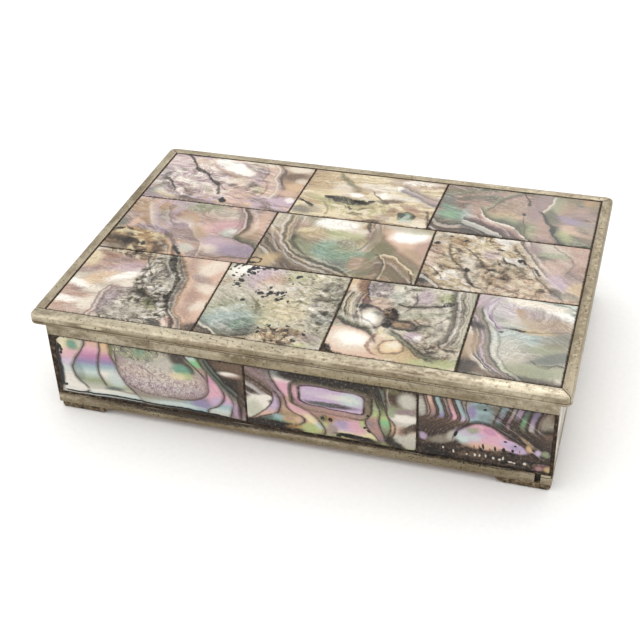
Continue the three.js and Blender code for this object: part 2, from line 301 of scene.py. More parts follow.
class Canvas:
    """The colour, height and roughness of one plate, built up stroke by stroke."""

    def __init__(self, tree, seed, shake):
        self.tree = tree
        self.seed = seed
        chart = add(tree, "UVMap", uv_map="pattern")
        # The lines of the pattern tremble every 3 mm or so.
        tremor = add(
            tree, "TexNoise", {0: chart, "Scale": SPAN / 4, "Detail": 5, "Roughness": 0.68},
            noise_dimensions="2D",
        )
        swing = add(
            tree, "VectorMath",
            {0: tremor.outputs["Color"], 1: (3 * shake / SPAN,) * 3, 2: (-1.5 * shake / SPAN,) * 3},
            operation="MULTIPLY_ADD",
        )
        drawn = add(tree, "VectorMath", {0: chart, 1: swing}, operation="ADD")
        self.plain, self.place = (
            add(
                tree, "Mapping",
                {0: source, "Location": (-SPAN / 2, -SPAN / 2, 0), "Scale": (SPAN, SPAN, 0)},
            ) for source in (chart, drawn)
        )
        # Where a place is across the map and up it, from 0 to 1.
        self.axes = [
            add(
                tree, "TexGradient",
                {
                    0: add(
                        tree, "Mapping",
                        {
                            0: self.place, "Location": (0.5, 0, 0), "Rotation": (0, 0, turn),
                            "Scale": (1 / SPAN,) * 3,
                        },
                    )
                },
            ).outputs["Fac"] for turn in (0.0, -math.pi / 2)
        ]
        self.colour = None
        self.height = 0.0
        self.rough = 0.3

    def lay(self, ground):
        """Lays the ground of a plate."""
        tree = self.tree
        turned = add(
            tree, "Mapping",
            {
                0: self.place, "Location": (self.seed * 7.3, self.seed * 3.1, 0),
                "Rotation": (0, 0, -math.radians(ground.turn)), "Scale": (1 / ground.stretch, 1, 1),
            },
        )
        swirl = add(
            tree, "TexNoise",
            {0: turned, "Scale": 1 / ground.scale, "Detail": 4, "Roughness": 0.55, "Distortion": 0.7},
            noise_dimensions="2D",
        )
        last = len(ground.colours) - 1
        places = [0.36 + 0.28 * at / last for at in range(last + 1)]
        self.colour = add(
            tree, "ValToRGB", {0: swirl}, stops=even(places, [tint(c) for c in ground.colours]),
        )
        # Growth lines of about 1 mm follow the swirl, and streaks of painted sheen, pale and dark, run along
        # it like the satin glow of nacre.
        rank = add(
            tree, "Math", {0: swirl, 1: 1.9 * ground.scale, 2: self.seed * 3.3}, operation="MULTIPLY_ADD",
        )
        line = add(
            tree, "TexNoise", {"W": rank, "Scale": 1.0, "Detail": 3, "Roughness": 0.6},
            noise_dimensions="1D",
        )
        drawn = add(tree, "Mapping", {0: turned, "Scale": (0.35, 1.3, 1)})
        sheen_streak = add(
            tree, "TexNoise", {0: drawn, "Scale": 0.7, "Detail": 5, "Roughness": 0.7, "Distortion": 0.6},
            noise_dimensions="2D",
        )
        self.marks = []
        for pattern, strength in ((line, ground.lines / 2), (sheen_streak, ground.streaks)):
            self.marks.append(
                add(
                    tree, "ValToRGB", {0: pattern},
                    stops=[
                        (0.34, tint("white", strength)), (0.46, tint("white", 0.0)),
                        (0.53, tint("umber", 0.0)), (0.66, tint("umber", strength)),
                    ],
                )
            )

    def oval(self, stroke):
        """How near an oval stroke's middle a place is: 1 there, less by 1 / FALL at its edge."""
        tree = self.tree
        local = add(
            tree, "Mapping",
            {
                0: self.place, "Location": (stroke.x, stroke.y, 0),
                "Rotation": (0, 0, math.radians(stroke.turn)),
                "Scale": (FALL * stroke.rx, FALL * stroke.ry, 1),
            },
            vector_type="TEXTURE",
        )
        square = getattr(stroke, "square", 0.0)
        if square:
            folded = add(tree, "VectorMath", {0: local}, operation="ABSOLUTE")
            inner = add(tree, "VectorMath", {0: folded, 1: (square / FALL,) * 3}, operation="SUBTRACT")
            corner = add(tree, "VectorMath", {0: inner, 1: (0, 0, 0)}, operation="MAXIMUM")
            local = add(tree, "VectorMath", {0: corner, "Scale": 1 / (1 - square)}, operation="SCALE")
        return add(tree, "TexGradient", {0: local}, gradient_type="SPHERICAL").outputs["Fac"]

    def cover(self, stroke):
        """How much of an oval stroke there is at each place."""
        return add(
            self.tree, "MapRange",
            {
                "Value": self.oval(stroke), "From Min": 1 - (1 + stroke.soft / 2) / FALL,
                "From Max": 1 - (1 - stroke.soft / 2) / FALL, "To Min": 0.0, "To Max": stroke.alpha,
            },
            interpolation_type="SMOOTHSTEP",
        )

    def spot(self, stroke):
        """Paints a soft oval."""
        self.colour = add(
            self.tree, "Mix",
            {0: self.cover(stroke), 6: self.colour, 7: tint(stroke.colour)},
            data_type="RGBA",
        )

    def grit(self, stroke):
        """Paints a patch of broken shell, and roughens and raises it."""
        tree = self.tree
        cover = self.cover(stroke)
        drawn = add(
            tree, "Mapping",
            {
                0: self.place, "Location": (self.seed * 3.7, stroke.x, 0),
                "Rotation": (0, 0, -math.radians(stroke.turn)),
                "Scale": (1 / stroke.pitch / stroke.drawn, 1 / stroke.pitch, 1),
            },
        )
        crag = add(
            tree, "TexNoise", {0: drawn, "Scale": 0.5, "Detail": 7, "Roughness": 0.74, "Distortion": 0.9},
            noise_dimensions="2D",
        )
        split = add(
            tree, "TexNoise", {0: drawn, "Scale": 0.45, "Detail": 2, "Roughness": 0.5, "Distortion": 0.5},
            noise_dimensions="2D", noise_type="RIDGED_MULTIFRACTAL",
        )
        chink = add(
            tree, "MapRange",
            {"Value": split, "From Min": 0.62, "From Max": 0.92, "To Min": 0.0, "To Max": -0.17},
        )
        mound = add(tree, "Math", {0: crag, 1: chink}, operation="ADD")
        # The ramp runs from dark hollows to pale crests: the shell's own colours with painted shade and
        # painted glints.
        last = len(stroke.colours) - 1
        places = [0.37 + 0.24 * at / last for at in range(last + 1)]
        ramp = add(tree, "ValToRGB", {0: mound}, stops=even(places, [tint(c) for c in stroke.colours]))
        self.colour = add(
            tree, "Mix",
            {0: cover, 6: self.colour, 7: ramp},
            data_type="RGBA",
        )
        raised = add(tree, "Math", {0: cover, 1: mound}, operation="MULTIPLY")
        self.height = add(
            tree, "Math", {0: raised, 1: 0.8 * stroke.rise / 0.22, 2: self.height},
            operation="MULTIPLY_ADD",
        )
        self.rough = add(tree, "Math", {0: cover, 1: 0.2, 2: self.rough}, operation="MULTIPLY_ADD")

    def bands(self, stroke, distance, scale, window=None):
        """Paints a growth edge's bands and lines by a distance of which scale is 1 mm."""
        tree = self.tree
        reach = max(abs(place) for place, _, _ in stroke.bands)
        if reach:
            spread = add(
                tree, "MapRange",
                {"Value": distance, "From Min": -reach * scale, "From Max": reach * scale},
            )
            ramp = add(
                tree, "ValToRGB", {0: spread},
                stops=[
                    (
                        0.5 + place / reach / 2, tint(colour, alpha),
                    ) for place, colour, alpha in stroke.bands
                ],
            )
            drawn = add(
                tree, "Math", {0: ramp.outputs["Alpha"], 1: window or 1.0}, operation="MULTIPLY",
            )
            self.colour = add(
                tree, "Mix",
                {0: drawn, 6: self.colour, 7: ramp},
                data_type="RGBA",
            )
        if not stroke.lines:
            return
        near, far, spacing, strength = stroke.lines
        self.seed += 1
        rank = add(
            tree, "Math", {0: distance, 1: 0.5 / scale / spacing, 2: self.seed * 5.7},
            operation="MULTIPLY_ADD",
        )
        ridge = add(
            tree, "TexNoise", {"W": rank, "Scale": 1.0, "Detail": 2.5, "Roughness": 0.6},
            noise_dimensions="1D",
        )
        mark = add(
            tree, "ValToRGB", {0: ridge},
            stops=[
                (0.36, tint("white", strength * 0.7)), (0.44, tint("white", 0.0)),
                (0.52, tint("umber", 0.0)), (0.61, tint("umber", strength)),
            ],
        )
        low, high = near * scale, far * scale
        soft = (high - low) * 0.15
        inside = add(
            tree, "FloatCurve",
            {
                "Value": add(
                    tree, "MapRange",
                    {"Value": distance, "From Min": low - soft, "From Max": high + soft},
                )
            },
            curve=((0, 0), (0.2, 1), (0.7, 1), (1, 0)),
        )
        if window:
            inside = add(tree, "Math", {0: inside, 1: window}, operation="MULTIPLY")
        shown = add(tree, "Math", {0: mark.outputs["Alpha"], 1: inside}, operation="MULTIPLY")
        self.colour = add(
            tree, "Mix",
            {0: shown, 6: self.colour, 7: mark},
            data_type="RGBA",
        )
        furrow = add(tree, "Math", {0: ridge, 1: inside}, operation="MULTIPLY")
        self.height = add(tree, "Math", {0: furrow, 1: -0.06, 2: self.height}, operation="MULTIPLY_ADD")

    def ring(self, stroke):
        """Paints a closed growth edge."""
        width = math.sqrt(stroke.rx * stroke.ry)
        off = add(self.tree, "Math", {0: 1 - 1 / FALL, 1: self.oval(stroke)}, operation="SUBTRACT")
        self.bands(stroke, off, 1 / width / FALL)

    def edge(self, stroke):
        """Paints an open growth edge, between its ends."""
        course = stroke.course()
        (first, start), (last, end) = course[0], course[-1]
        length = sum(math.dist(a, b) for a, b in zip(course, course[1:]))
        slant = (last - first) / length
        across, along = self.axes if stroke.run == "v" else self.axes[::-1]
        path = add(
            self.tree, "FloatCurve", {"Value": along},
            curve=[(0.5 + a / SPAN, 0.5 + b / SPAN) for a, b in course],
        )
        off = add(self.tree, "Math", {0: across, 1: path}, operation="SUBTRACT")
        window = None
        if stroke.fade:
            ends = (first - stroke.fade, first, last, last + stroke.fade)
            window = add(
                self.tree, "FloatCurve", {"Value": along},
                curve=[(0.5 + at / SPAN, on) for at, on in zip(ends, (0, 1, 1, 0))],
            )
            for point in window.mapping.curves[0].points:
                point.handle_type = "VECTOR"
            window.mapping.extend = "HORIZONTAL"
            window.mapping.update()
        if stroke.fill:
            (low, _), (high, _) = stroke.fill[0], stroke.fill[-1]
            spread = add(
                self.tree, "MapRange",
                {"Value": along, "From Min": 0.5 + low / SPAN, "From Max": 0.5 + high / SPAN},
            )
            layer = add(
                self.tree, "ValToRGB", {0: spread},
                stops=[((at - low) / (high - low), tint(name)) for at, name in stroke.fill],
            )
            lip = 0.12 * stroke.side / SPAN
            beyond = add(self.tree, "MapRange", {"Value": off, "From Min": -lip, "From Max": lip})
            laid = add(self.tree, "Math", {0: beyond, 1: window or 1.0}, operation="MULTIPLY")
            self.colour = add(
                self.tree, "Mix",
                {0: laid, 6: self.colour, 7: layer},
                data_type="RGBA",
            )
        self.bands(stroke, off, 1 / SPAN / slant, window)

    def paint(self, strokes):
        """Paints every stroke in order."""
        kinds = {Spot: self.spot, Grit: self.grit, Ring: self.ring, Edge: self.edge}
        order = {Grit: 0, Spot: 0, Ring: 1, Edge: 1}
        for stroke in strokes:
            if order[type(stroke)] and self.marks:
                self.mark()
            kinds[type(stroke)](stroke)
        self.mark()

    def mark(self):
        """Draws the growth lines and streaks that wait, before the first growth edge."""
        for ramp in self.marks:
            self.colour = add(
                self.tree, "Mix",
                {0: ramp.outputs["Alpha"], 6: self.colour, 7: ramp},
                data_type="RGBA",
            )
        self.marks = []


# ------------------------------------------------------------------ the plates
# Ramps of broken shell from hollow to crest: their dark ends carry painted shade and their white ends painted
# glints.
STONE = ("black", "moss", "ash", "silver", "pearl", "white")
PALE = ("umber", "sage", "silver", "pearl", "pearl", "white")
CHALK = ("umber", "lime", "silver", "cream", "pearl", "white")


def outline(colour="umber", width=0.5, alpha=0.8):
    """A thin band on a growth edge and nothing beside it."""
    return (
        (-width, colour, 0.0), (-width / 4, colour, alpha), (width / 4, colour, alpha),
        (width, colour, 0.0))


def spatter(points, count, size, seed, spread=0.9, colour="black"):
    """Small pits of random sizes, scattered at random along a course."""
    chance = random.Random(seed)
    spots = []
    for _ in range(count):
        leg, part = divmod(chance.random() * (len(points) - 1), 1)
        start, end = points[int(leg)], points[int(leg) + 1]
        x, y = (a + (b - a) * part + chance.gauss(0, spread) for a, b in zip(start, end))
        long = size * chance.uniform(0.4, 1.2)
        wide = long * chance.uniform(0.5, 1.0)
        spots.append(Spot(x, y, long, wide, colour, 0.95, chance.uniform(0, 180), 0.5))
    return spots


PLATES = {}


def plate(name, ground, *strokes):
    """Writes down a plate's pattern; a stroke of plain numbers and a colour is a Spot."""
    PLATES[name] = ground, [Spot(*s) if type(s) is tuple else s for s in strokes]


plate(
    "lid_shell_front_1", Ground(("rose", "blush", "silver", "pearl"), 30, 10, 2.0, 0.15),
    (-17, 11, 9, 6, "rose", 0.75, 20), (-20, -10, 6, 3.5, "rose", 0.7, -10),
    (-18, -18, 7, 3, "rose", 0.7), (-15, 1, 7, 3, "peach", 0.7, 35), (-9, 9, 6, 3, "lilac", 0.6, 20),
    # Painted sheen: the white and pearl lobes on the left are the satin glow of the polish, and the mauve
    # bands between them are painted shade.
    (-8, 4, 6, 2, "white", 0.9, 38, 1, 0.05), (-13, 13, 5, 1.6, "mauve", 0.6, 20),
    (-21, 5, 6, 1.6, "mauve", 0.65, 20), (-18, -7, 5, 1.4, "mauve", 0.6, -10),
    (-5, 0, 4, 3, "pearl", 0.8, 20), (-22, -3, 5, 1.8, "white", 0.9, -20),
    (-21, -13, 5, 1.8, "white", 0.9), (-14, -6, 4, 1.8, "pearl", 0.8, 10),
    (-13, -14, 3.5, 4, "pearl", 0.85), (-23, 12, 3, 5, "cream", 0.8, 10),
    Grit(-16, 19, 10, 2.6, ("umber", "rose", "bark", "cream", "pearl"), -18, 0.9, 0.6),
    Grit(-7, 18, 7, 3, ("bark", "tan", "cream", "pearl"), -25, 0.9, 0.7),
    (-19, 15.5, 4, 1.6, "rust", 0.7, -25), Grit(2, -12, 13, 11, STONE, 0, 1.0, 0.2, 1.4),
    Grit(4.5, 5, 9, 16, STONE, 6, 1.0, 0.15, 1.5), (5, 15, 5, 3.5, "olive", 0.7, -30),
    (-7, -6, 4, 3.5, "mauve", 0.7), (-8, -12, 3, 6, "lilac", 0.5), (6, -10, 4, 2, "lime", 0.6, -40),
    (0, -15, 8, 4, "silver", 0.6, 10), (5, 11, 3, 4, "umber", 0.7, 15),
    (4, 17, 2.2, 1.6, "black", 0.9, 0, 0.5), (0, -4, 4, 1.6, "umber", 0.55, -15),
    (11, -5, 1.6, 3, "umber", 0.7, 10), (12, -19, 3, 1.5, "black", 0.8, -30, 0.5),
    (1, 5, 1.5, 3, "umber", 0.6, 10), (7, 4, 3, 2.5, "silver", 0.6),
    Edge(
        ((-6, 20), (-4, 15), (-2.6, 11), (-2.6, 6), (-1, 1)),
        ((-1, "rose", 0), (-0.2, "umber", 0.7), (0.3, "umber", 0.5), (1, "ash", 0)), step=0.06),
    Edge(
        ((-9, -2.5), (-10.5, -7), (-10, -12), (-10.5, -20)),
        (
            (-1.6, "plum", 0), (-0.9, "plum", 0.7), (-0.3, "pearl", 0.6), (0.5, "plum", 0.6),
            (1.4, "mauve", 0))),
    crack(((-10, -3), (-6, -2.6), (-2, -0.4)), 0.5, "plum", "u", 0.6),
    crack(((0, 0), (2, -3), (3, -6)), 0.5, "rust", alpha=0.5),
    Edge(
        ((6, 21), (9, 13), (12.5, 7), (13, 2), (13.5, -5), (15.5, -11), (20, -17), (21, -21)),
        (
            (-3.2, "umber", 0), (-2.4, "umber", 0.55), (-1.7, "silver", 0.4), (-0.7, "umber", 0.8),
            (0, "rust", 0.7), (0.5, "tan", 1), (1.6, "blush", 0.95), (4, "rose", 0.7), (8, "blush", 0.8)),
        lines=(-5, 0.5, 1.2, 0.6), fade=0, step=0.05),
    (19, 15, 6, 3.4, "pearl", 0.8, 60), (18, 8, 5, 2, "mauve", 0.6, -30),
    (21, 3, 4, 2.4, "pearl", 0.75, -20), (18, -2, 3, 4, "rose", 0.7, 10),
    (22, -7, 2.4, 4, "pearl", 0.7, -20), (19, -11, 4, 2, "rose", 0.6, -40),
    (24.5, -18, 3.5, 3, "umber", 0.85, 40), (23, -12, 2, 4, "blush", 0.6),
)
plate(
    "lid_shell_front_2", Ground(("ash", "silver", "lime", "cream"), -55, 9, 2.2, 0.3),
    Grit(8, 6, 18, 18, CHALK, -60, 0.75, 0.6, 1.5, 0.18), (-13, 8, 11, 12, "silver", 0.9, 20),
    (-16, 16, 4, 4, "white"), (-13, 18, 3, 3, "white", 0.9), (-8, 12, 5, 6, "lilac", 0.75, 20),
    (-6, 17, 5, 4, "lilac", 0.6), (-4, 12, 5, 4, "blush", 0.8, 40), (-3, 8, 5, 3, "pearl"),
    (-19, 8, 2, 2.5, "tan", 0.6), (3, 16, 4, 3, "lime", 0.5), (3, -3, 8, 6, "cream", 0.7, -30),
    Grit(4, -17, 13, 4.5, ("brown", "bark", "gold", "cream", "pearl"), 8, 1.0, 0.5, 1.6),
    Grit(17, 2, 5, 18, ("ash", "sage", "silver", "pearl", "white"), 4, 0.8, 0.8, 1.4),
    (17, -4, 3, 3, "ice", 0.6), (17, -15, 3.5, 2.5, "mauve", 0.7), (-16, -2, 7, 9, "silver", 0.9, -20),
    (-12, -9, 11, 8, "sage", 0.9, 30), (-12, -12, 9, 4.5, "sky", 0.9, 30),
    (-7, -16, 7, 4, "slate", 0.9, 15), (-6, -13, 4, 2.4, "teal", 0.7, 40),
    (-13, -6, 7, 1.6, "ice", 0.7, 35), (-4, -15, 2.5, 4, "slate", 0.6, 10),
    Edge(
        ((-21, -13), (-18, -15.5), (-14, -17.5), (-11, -20.5)),
        (
            (-3, "bark", 0.9), (-1.5, "umber", 0.9), (-0.8, "pearl", 0.9), (0, "slate", 0.8),
            (0.6, "umber", 0.4), (1.4, "teal", 0)),
        run="u", fade=0, step=0.05),
    crack(((-10, -20), (-6, -19.5), (-2, -17.5)), 0.6, "umber", "u", 0.6),
    *spatter(((-20, 18), (-16, 19), (-11, 18.5), (-7, 19)), 16, 0.9, 1),
    *spatter(((-15.5, 20), (-13.5, 17), (-12, 14), (-16, 11)), 16, 0.8, 2),
    *spatter(((-18, 15), (-16.6, 12), (-16, 8), (-13, 4.6)), 9, 0.7, 3),
    *spatter(((-8, 6), (-5, 4), (-2.5, 5.6), (2, 6.4)), 16, 0.75, 4, 0.7),
    *spatter(((-2, 8.5), (1.4, 6), (3.4, 3)), 7, 0.6, 5),
    *spatter(((-7, 2), (-5, -2), (-4, -6)), 10, 0.4, 6, 1.4, "bark"),
    *spatter(((-9, 19), (0, 15), (6, 12)), 8, 0.5, 7, 2.0),
    *spatter(((0, -12), (8, -15), (17, -14)), 16, 0.55, 8, 2.4),
    *spatter(((8, 14), (15, 6), (14, -8)), 14, 0.4, 9, 3.0, "bark"),
    crack(((-5.5, 1), (-5, -2), (-4.4, -6)), 0.6, "olive", alpha=0.8),
    crack(((-8, 2), (-6, 0), (-4, -3)), 0.6, "olive", alpha=0.6),
    *pits((-10.4, -0.4, 0.8, 0.8), (-3, 6, 1, 1.2), (0.6, 2.7, 0.9, 0.8), (3.6, 16.4, 1, 0.9)),
    (12.3, -17.6, 0.8, 0.7, "black", 1, 0, 0.5), (16.8, -1, 1.2, 1.6, "black", 0.7, -30, 0.5),
    (17, -7, 1.4, 0.9, "umber", 0.7), (2, -15, 1, 0.8, "umber"),
)
plate(
    "lid_shell_front_3", Ground(("sage", "silver", "cream", "pearl"), 40, 9, 1.6, 0.25),
    Grit(5, 8, 15, 14, PALE, 30, 0.9, 0.3, 2.4),
    Grit(12, -11, 9, 8, ("umber", "tan", "silver", "pearl", "cream"), -20, 0.9, 0.4, 1.8),
    (5, 14, 3, 5, "lilac", 0.7), (-5, 12, 5, 5, "ice", 0.6, 20), (12, 15, 3.4, 3, "lime", 0.9, 20),
    (1, 8, 8, 2, "ash", 0.6, 15), (7, 4, 9, 4, "sage", 0.5, 20), (10, 10, 7, 2.4, "pearl", 0.7, 25),
    (4, 0, 6, 2, "blush", 0.5, 20), (12, 2, 3, 3, "pearl", 0.7, 40), (13, -4, 5, 4, "silver", 0.5),
    (-8, 8, 4, 4, "blush"), Grit(-11, 16, 5, 5, ("slate", "mauve", "lilac", "pearl"), 0, 0.9, 0.5, 1.6),
    (-19, 13, 3.5, 8, "peach", 1, 5, 0.5), (-18, 13, 2, 5, "pearl", 0.8, 5),
    Edge(
        ((-15.5, 20), (-14.5, 15), (-13, 11), (-12, 7)),
        (
            (-4, "rust", 0), (-2.4, "rust", 0.9), (-0.6, "rust", 0.95), (0, "black", 0.9),
            (0.7, "umber", 0))),
    (-17, 9, 2, 2, "rust"), (-13.5, 8, 2.6, 1.6, "plum"), (-13, 5.2, 3.2, 1.2, "black", 0.95, 8, 0.5),
    Ring(
        -9.6, -0.2, 5.2, 5.4,
        (
            (-3, "pearl", 0.95), (-1.2, "silver", 0.95), (-0.3, "mauve", 0.9), (0.2, "umber", 0.9),
            (0.9, "umber", 0)),
        rise=0.16),
    (-8, 2.6, 1.6, 1.2, "slate"), (-9.8, -0.8, 2.6, 3.2, "white", 0.9),
    Edge(
        ((-18, 12), (-19, 7), (-18, 1), (-15.5, -4)),
        (
            (-1.4, "moss", 0.6), (-0.4, "umber", 0.7), (0.6, "cream", 0.8), (1.6, "umber", 0.6),
            (2.6, "silver", 0.6), (3.2, "umber", 0.5), (4, "ash", 0)),
        lines=(-2, 4, 1.0, 0.6)),
    Grit(-3.2, 3.5, 2.4, 3.6, ("black", "umber", "bark", "tan"), 30, 0.95, 0.4, 1.4),
    Ring(
        0.8, -2, 5, 2.4, ((-2, "rust", 0.9), (-0.6, "umber", 0.8), (0, "black", 0.95), (1.2, "umber", 0)),
        turn=-10),
    (0.8, -2.2, 2.6, 1.5, "tan", 1, 0, 0.5, 0.1), (-3.6, -3, 1.6, 1.8, "black", 0.9, 0, 0.5),
    (5, -7.5, 2.6, 2.2, "lilac", 0.9, 20), (6, -8, 1.5, 1.2, "white", 0.9, 20),
    crack(((1, 6), (3, 11), (2, 16)), 0.5, "umber", alpha=0.6),
    crack(((-2, 9), (4, 8.6), (9, 10), (14, 13)), 0.8, "umber", "u", 0.8),
    crack(((4, 2), (9, -1), (12, 2), (14, 5)), 0.5, "umber", "u", 0.5),
    (12, 12, 2.2, 1, "black", 0.8, 45, 0.5),
    Edge(
        ((15, 20), (16.5, 12), (17.5, 6), (17.5, 0), (17, -6), (16, -9)),
        (
            (-3.5, "moss", 0), (-2.6, "umber", 0.6), (-1.8, "pearl", 0.5), (-0.8, "umber", 0.7),
            (0, "pearl", 0.7), (0.8, "umber", 0.7), (1.6, "silver", 0.9), (6, "sage", 0.8)),
        lines=(-4, 4, 1.1, 0.7), fade=2),
    (-12, -14, 14, 7, "blush", 1, -12, 0.3), (3, -16, 8, 5, "sand", 0.9, -20, 0.5),
    (14, -19, 8, 2.5, "lime", 0.8, 5, 0.6), (-13, -12.4, 7.5, 5.4, "pearl", 0.95, -8, 1.2, 0.12),
    (-12, -12, 5, 3, "white", 0.9, -8),
    Edge(
        ((-21, -2), (-16, -5.2), (-11, -6.2), (-8, -8), (-5.8, -11)),
        (
            (-1.6, "rose", 0), (-0.7, "rose", 0.7), (0, "umber", 0.85), (0.9, "moss", 0.7),
            (2, "olive", 0.6), (3.4, "slate", 0)),
        run="u", lines=(-0.5, 4, 1.0, 0.5), step=-0.05),
    Ring(
        0.2, -14, 3.7, 3.5,
        ((-2.4, "cream", 0.95), (-0.8, "peach", 0.9), (0, "bark", 0.8), (0.7, "tan", 0)), rise=0.06),
    (0.6, -13, 2, 1.6, "pearl"),
    crack(((-5.6, -8.6), (-6.4, -12), (-6.4, -15.4), (-4, -18.3)), 0.7, "rust", alpha=0.7),
    Edge(
        ((-1, -7.5), (1.6, -10), (5, -12.6), (8, -15.6), (13, -17.5)),
        (
            (-1.4, "cream", 0), (-0.5, "umber", 0.7), (0.4, "sage", 0.8), (1.2, "umber", 0.85),
            (2.2, "ash", 0.4), (3, "ash", 0)),
        run="u", lines=(-1, 3, 0.9, 0.5)),
    (-19, -18.5, 1.8, 2.2, "black", 0.95, 30, 0.5),
    crack(((-17.5, -19.6), (-14, -20.6), (-8, -21)), 0.9, "black", "u", 0.9),
    (12, -14, 2.4, 0.7, "umber", 0.8, 20), (17, -12, 2, 0.8, "umber", 0.8, -10),
)
plate(
    "lid_shell_front_4", Ground(("slate", "ice", "silver", "ash"), -20, 12, 1.6, 0.15, 0.3),
    (0, -3, 12, 9, "sky", 0.8), (-2, -8, 7, 7, "silver", 0.7), (12, -2, 5, 9, "ash", 0.8),
    (9, -9, 9, 6, "ash", 0.6, 20), (1, 14, 12, 7, "ice", 0.8, -10), (-3, 13, 8, 5, "lilac", 0.6, -20),
    # Painted highlight: the white and pearl streaks along the top are a glint on the polish.
    (9, 15.6, 7, 2, "white", 0.95, -30), (2, 18.6, 11, 2, "pearl", 0.95, -8),
    (6, 10, 8, 5, "mauve", 0.8, -30, 0.9), (9, 8, 8, 3, "tan", 0.8, 5),
    Edge(
        ((-2.2, 14.5), (0, 10), (2.6, 6.6)),
        ((-1, "sand", 0), (0, "gold", 0.8), (1, "tan", 0.7), (3.2, "blush", 0))),
    (5, 3.6, 6, 1.4, "sand"), (13, 1, 4, 3, "slate", 0.5), (9, -4.5, 5, 2.6, "sage", 0.75, 15),
    (3, -12, 5, 3, "silver", 0.5), (12, -2, 3.4, 1.6, "olive", 0.4, 10),
    (12, -8, 5.4, 2.6, "slate", 0.85, 22, 0.9), (7.6, -10.4, 4, 1.5, "slate", 0.8, 20),
    (9.6, -12.6, 2.4, 0.9, "black", 0.75, 15, 0.5),
    crack(((5.6, -10.6), (9, -13.2), (12, -11.6), (15, -11.4)), 0.6, "umber", "u", 0.7),
    (6, -16, 11, 3.6, "sage", 0.85, 6), (4, -20.5, 12, 2, "umber", 0.75, -2),
    crack(((-8, 3.6), (-3, 3.7), (4, 3.4), (15, 5.4)), 0.5, "bark", "u", 0.55),
    (-5.6, 3.8, 2.2, 0.55, "umber", 0.85, 2), (0.2, 3.4, 2.6, 0.6, "black", 0.95, -5, 0.5),
    (-5.2, 2, 0.8, 0.6, "black", 0.9, 20, 0.5), (-1.6, 7.5, 5, 3, "silver", 0.5),
    Edge(
        ((-9.4, 19), (-11.6, 14), (-10, 8.6), (-6.8, 4)),
        (
            (-3.4, "ash", 0.8), (-2, "pearl", 0.8), (-0.9, "umber", 0.6), (-0.3, "violet", 0.8),
            (1.2, "lilac", 0.7), (3, "ice", 0)),
        lines=(-6, 1, 1.1, 0.55), fade=2.5),
    Edge(
        ((-13, 15), (-13.4, 10), (-11, 4), (-9, -2), (-8.6, -8), (-6.4, -13), (0, -19.5)),
        (
            (-6, "tan", 0.8), (-4.4, "pearl", 0.85), (-3.4, "mauve", 0.8), (-2.4, "umber", 0.75),
            (-1.6, "lilac", 0.9), (-0.7, "bark", 0.8), (0.2, "silver", 0.9), (0.9, "umber", 0.55),
            (1.6, "silver", 0)),
        lines=(-7, 2.4, 0.9, 0.55), fade=3),
    (-13.4, 3.6, 3, 1.6, "umber", 0.9, -30), (-13.4, -7, 2.6, 7, "tan"),
    (-13, -18, 3.6, 4, "umber", 0.9, 30), (-5, -20, 6, 1.6, "bark", 0.8, -15),
    (-13.6, 17, 3, 4, "lilac", 0.6),
)
